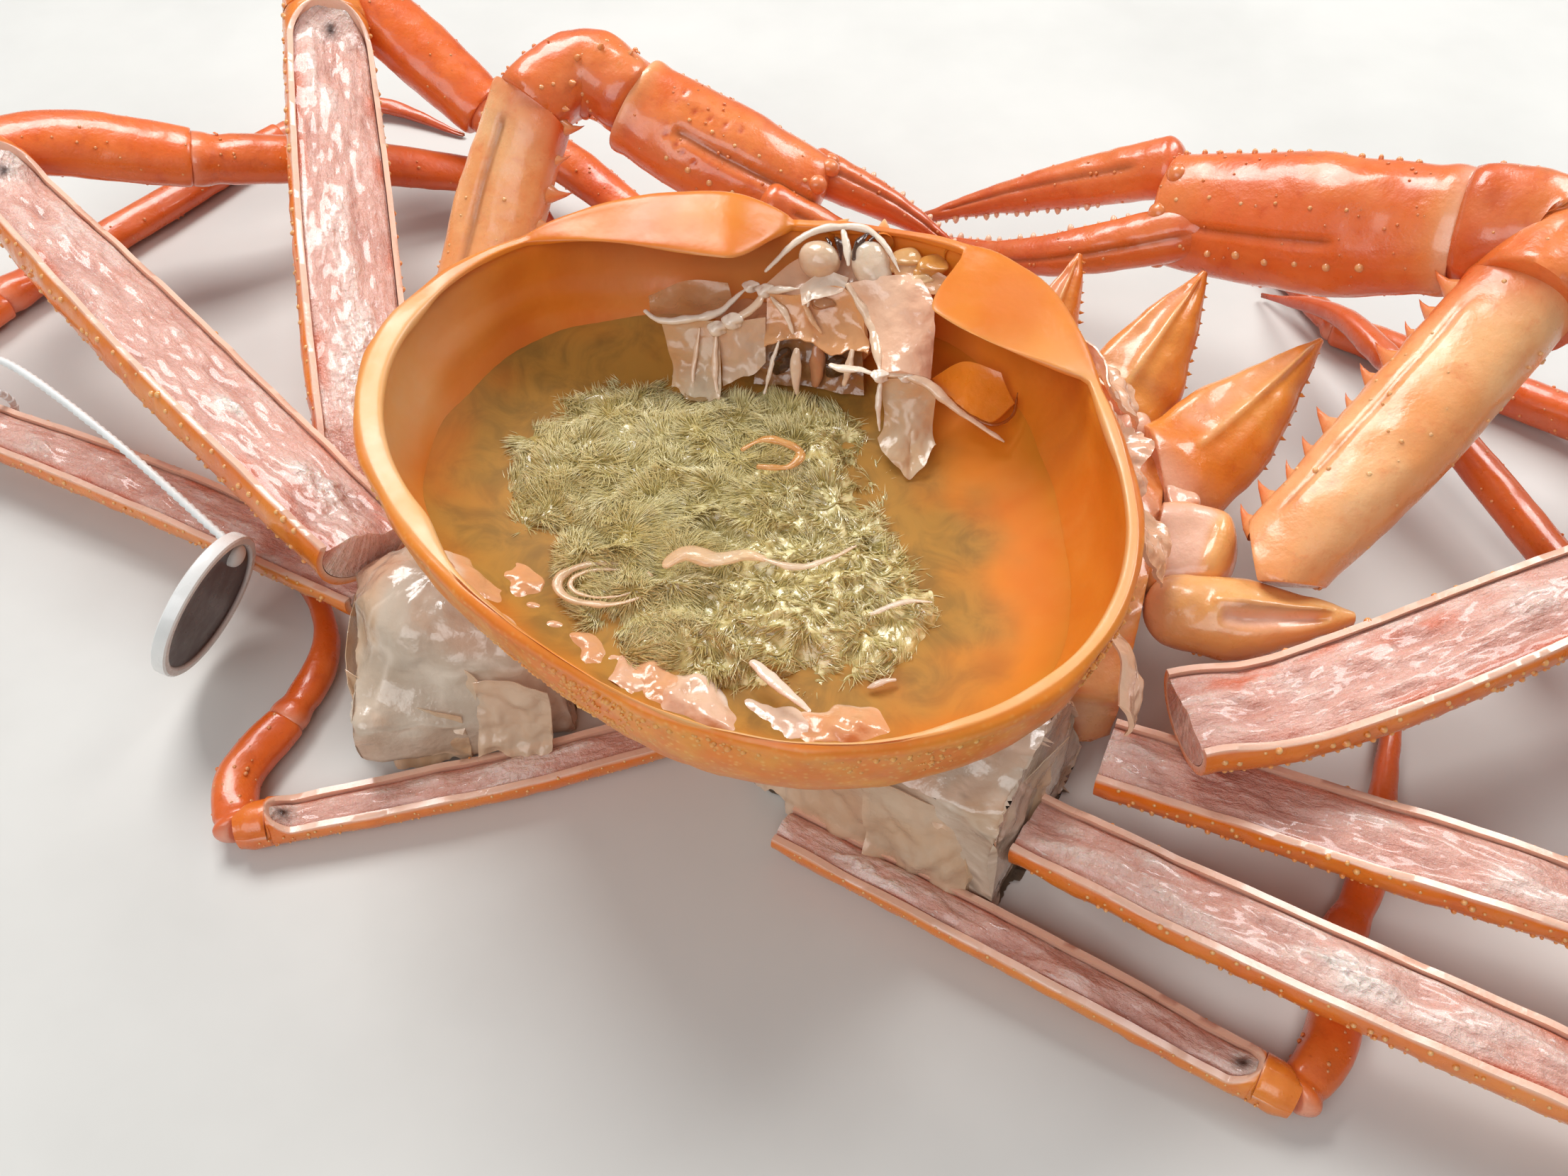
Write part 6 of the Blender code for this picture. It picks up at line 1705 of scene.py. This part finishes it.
# Torn flaps on the bowl's wall: middle, level over the broth, half size, thickness, seed and masks
WALL_PATCHES = (
    ((-43, -1), -0.5, (9, 7), 2.0, 172, PEACH), ((-37, -8), -0.5, (8, 5), 1.8, 173, (0.5, 0.2, 0.35, 0)),
    ((-30, -14), -0.5, (8, 5), 1.8, 174, PEACH), ((-22, -19), -1.0, (8, 6), 2.0, 175, (0.45, 0.3, 0.3, 0)),
    ((-10, -25), -3.0, (9, 8), 2.8, 176, (0.35, 0.45, 0.15, 0)),
    ((3, -27), -3.0, (6.5, 8), 2.0, 177, (0.3, 0.7, 0.1, 0)),
    ((13, -27), -3.0, (8.5, 8), 2.6, 178, PEACH),
    ((-16, -22), -4.0, (8, 5), 2.0, 179, (0.5, 0.15, 0.4, 0)),
)
# Skins at the right side: two edges, thickness, ruffle, tear and masks
SIDE_SKINS = (
    (((60, -9, 44), (63, -16, 42), (62, -24, 40)), ((65, -10, 34), (68, -17, 31), (65, -26, 30)),
     0.9, 1.2, 3.0, (0.3, 0.4, 0.2, 0)),
    (((66, 26, 50), (68, 33, 50), (69, 42, 48)), ((74, 28, 36), (78, 36, 36), (78, 45, 35)),
     0.8, 1.6, 3.0, (0.6, 0.35, 0, 0)),
    (((69, 44, 50), (68, 53, 50), (63, 61, 50)), ((79, 47, 36), (78, 57, 37), (71, 66, 38)),
     0.8, 1.6, 3.0, (0.4, 0.35, 0.2, 0)),
    (((70, 8, 46), (70, 15, 46), (69, 22, 46)), ((77, 9, 33), (79, 16, 34), (78, 23, 34)),
     0.8, 1.4, 3.0, (0.5, 0.3, 0.2, 0)),
)


def make_scraps():
    """Strands, a clear ring and torn flaps of flesh in the bowl and along its sides."""
    threads = [strand(path, width, 12, 44, 160 + number, tint, flat)
               for number, (path, width, tint, flat) in enumerate(THREADS)]
    turn = np.radians(np.linspace(15, 345, 14))
    for number, (wide, deep, width) in enumerate(((8.4, 4.8, 1.9), (6.2, 3.2, 1.0))):
        ring = np.stack([-26.5 + wide * np.cos(turn), -2.2 + deep * np.sin(turn), 46 + 0 * turn], 1)
        threads.append(strand(ring, width, 12, 60, 170 + number, CLEAR, 0.5))
    piece("clear_strands", threads, FINISH["skin"])

    flaps = [wall_patch(*row) for row in WALL_PATCHES]
    flaps.append(strand(((-0.4, -20, 47.5), (4, -25, 48), (9.4, -31, 48.6)), 2.6, 20, 60, 180,
                        (0, 0.85, 0, 0), 0.5))
    piece("bowl_scraps", flaps, FINISH["peach"])

    plates = [skin_sheet(near, far, 36, 26, thick, ruffle, ragged, 181 + number, 1.4, tint)
              for number, (near, far, thick, ruffle, ragged, tint) in enumerate(SIDE_SKINS)]
    piece("side_skins", plates, FINISH["peach"])


# The tag
def make_tag():
    """A round tag with a raised white rim and dark plain faces, its boss and its braided tie."""
    along = unit((0.457, 0.696, 0.553))
    face = unit((0.913, -0.282, -0.296))
    across = np.cross(along, face)
    turn = full_turn(96)
    circle = np.cos(turn)[:, None] * along + np.sin(turn)[:, None] * across
    profile = [(share, -level) for share, level in TAG_PROFILE] + list(TAG_PROFILE[::-1])
    rings = [TAG_AT + face * level + TAG_RADIUS * share * circle for share, level in profile]
    inside = np.array([[1.0 if share < 0.87 else 0.0] for share, _ in profile])
    disc = loft(np.array(rings), masks(inside + 0 * turn))
    piece("tag_disc", [disc], FINISH["tag"], ("tag",), sharp=30)
    eye = TAG_AT + along * TAG_RADIUS * 0.72
    boss = limb((eye - face * 2.6, eye, eye + face * 2.6), (4.5, 5, 4.5), (4.5, 5, 4.5), along, 40, 20,
                lumps=(0.0, 5))
    leg_row = LEGS["leg_left_3"]
    axis = np.subtract(leg_row["paths"][0][2], leg_row["paths"][0][1])
    spot, out, _ = on_limb(leg_row["paths"][0], leg_row["widths"][0], leg_row["heights"], leg_row["up"],
                           np.full(19, 0.86), np.linspace(100, 430, 19), 2)
    loop = spot + out * 2.2
    strap = np.vstack([[eye + along * 1.5 - face * 0.5, (-137, 50, 31), (-166, 72, 31),
                        loop[0] + np.array((6, 0, 7))], loop])
    _, length = path_through(strap, [0, 1])
    beads = round(length / BEAD)

    def braid(at, angle):
        """A step for each turn of the braid."""
        return 0.34 * ((at * beads) % 1.0 - 0.55) + 0 * angle

    tie = limb(strap, (TIE_WIDTH,) * 3, (TIE_WIDTH,) * 3, axis, 12, beads * 7, 2.0, (0.6, 0.6), braid,
               lumps=(0.0, 5))
    piece("tag_tie", [boss, tie], FINISH["tie"], sharp=40)


# Stage
def make_stage():
    """A pale floor, soft lights and the photograph's view."""
    lens = bpy.data.cameras.new("camera")
    lens.sensor_width = SENSOR
    lens.lens = SENSOR * FOCAL_LENGTH / PHOTO_WIDTH
    lens.clip_start = MM
    camera = bpy.data.objects.new("camera", lens)
    camera.location = [(v - c) * MM for v, c in zip(CAMERA_AT, (*CENTRE, 0))]
    camera.rotation_euler = (math.radians(CAMERA_TILT), 0, 0)
    bpy.context.scene.collection.objects.link(camera)
    bpy.context.scene.camera = camera

    bpy.ops.mesh.primitive_plane_add(size=4, location=(0, 0, -0.0004))
    floor = bpy.context.object
    floor.name = "floor"
    floor.data.materials.append(plain_finish("floor_finish", rgb(214, 212, 206), rgb(206, 204, 198), 90,
                                             0.5, 0.0))

    for name, spot, aim, size, power in LIGHTS:
        lamp = bpy.data.lights.new(name, "AREA")
        lamp.shape = "RECTANGLE"
        lamp.size, lamp.size_y = size
        lamp.energy = power
        light = bpy.data.objects.new(name, lamp)
        light.location = spot
        toward = unit(np.subtract(aim, spot))
        light.rotation_euler = (math.acos(-toward[2]), 0, math.atan2(toward[0], -toward[1]) + math.pi)
        bpy.context.scene.collection.objects.link(light)
    world = bpy.data.worlds.new("studio")
    world.use_nodes = True
    sky = world.node_tree.nodes["Background"].inputs
    sky["Color"].default_value = rgb(226, 232, 240)
    sky["Strength"].default_value = 0.32
    bpy.context.scene.world = world
    bpy.context.scene.view_settings.view_transform = "Standard"


make_stage()
FINISH = {
    "leg": shell_finish("leg_shell", ORANGE, rgb(238, 138, 50), DEEP, 0.55),
    "leg_end": shell_finish("leg_end_shell", rgb(222, 98, 38), rgb(232, 116, 48), RED, 0.5),
    "claw": shell_finish("claw_shell", rgb(224, 104, 46), rgb(234, 130, 66), rgb(184, 62, 30), 0.6),
    "arm": shell_finish("arm_shell", rgb(238, 156, 94), rgb(244, 186, 130), rgb(220, 92, 38), 0.35),
    "base": shell_finish("leg_base_shell", rgb(226, 126, 44), rgb(236, 154, 70), rgb(206, 88, 30), 0.6),
    "body": shell_finish("body_shell", rgb(228, 136, 66), rgb(232, 164, 104), DEEP, 0.5),
    "meat": meat_finish(),
    "flesh": clear_finish("side_flesh", rgb(208, 186, 162), rgb(218, 200, 178), rgb(190, 168, 144), 0.88),
    "peach": clear_finish("peach_flesh", rgb(236, 168, 116), rgb(246, 200, 158), rgb(224, 142, 84), 0.9),
    "amber": shell_finish("amber_plate", AMBER, rgb(228, 138, 52), rgb(206, 104, 34), 0.35),
    "strut": clear_finish("mouth_strut", rgb(240, 204, 160), rgb(250, 228, 196), rgb(222, 168, 116), 0.85),
    "skin": clear_finish("mouth_skin", SKIN, rgb(255, 232, 196), rgb(238, 166, 98), 0.5),
    "amber_clear": clear_finish("amber_clear", rgb(224, 176, 104), rgb(238, 208, 140), rgb(190, 130, 60),
                                0.75),
    "eye": clear_finish("eye_clear", rgb(232, 194, 156), rgb(248, 226, 200), rgb(204, 150, 104), 0.8, 0.4),
    "tag": plain_finish("tag_white", WHITE, rgb(226, 226, 222), 8, 0.3, 0.4),
    "tie": plain_finish("tie_white", WHITE, rgb(224, 224, 220), 6, 0.4, 0.1),
}
make_carapace()
make_insides()
make_body()
make_leg_bases()
make_claw_bases()
make_mouth()
make_scraps()
for number, (leg_name, leg_row) in enumerate(LEGS.items()):
    leg(leg_name, leg_row, 300 + 20 * number)
for number, (claw_name, claw_row) in enumerate(CLAWS.items()):
    claw(claw_name, claw_row, 500 + 20 * number)
make_tag()
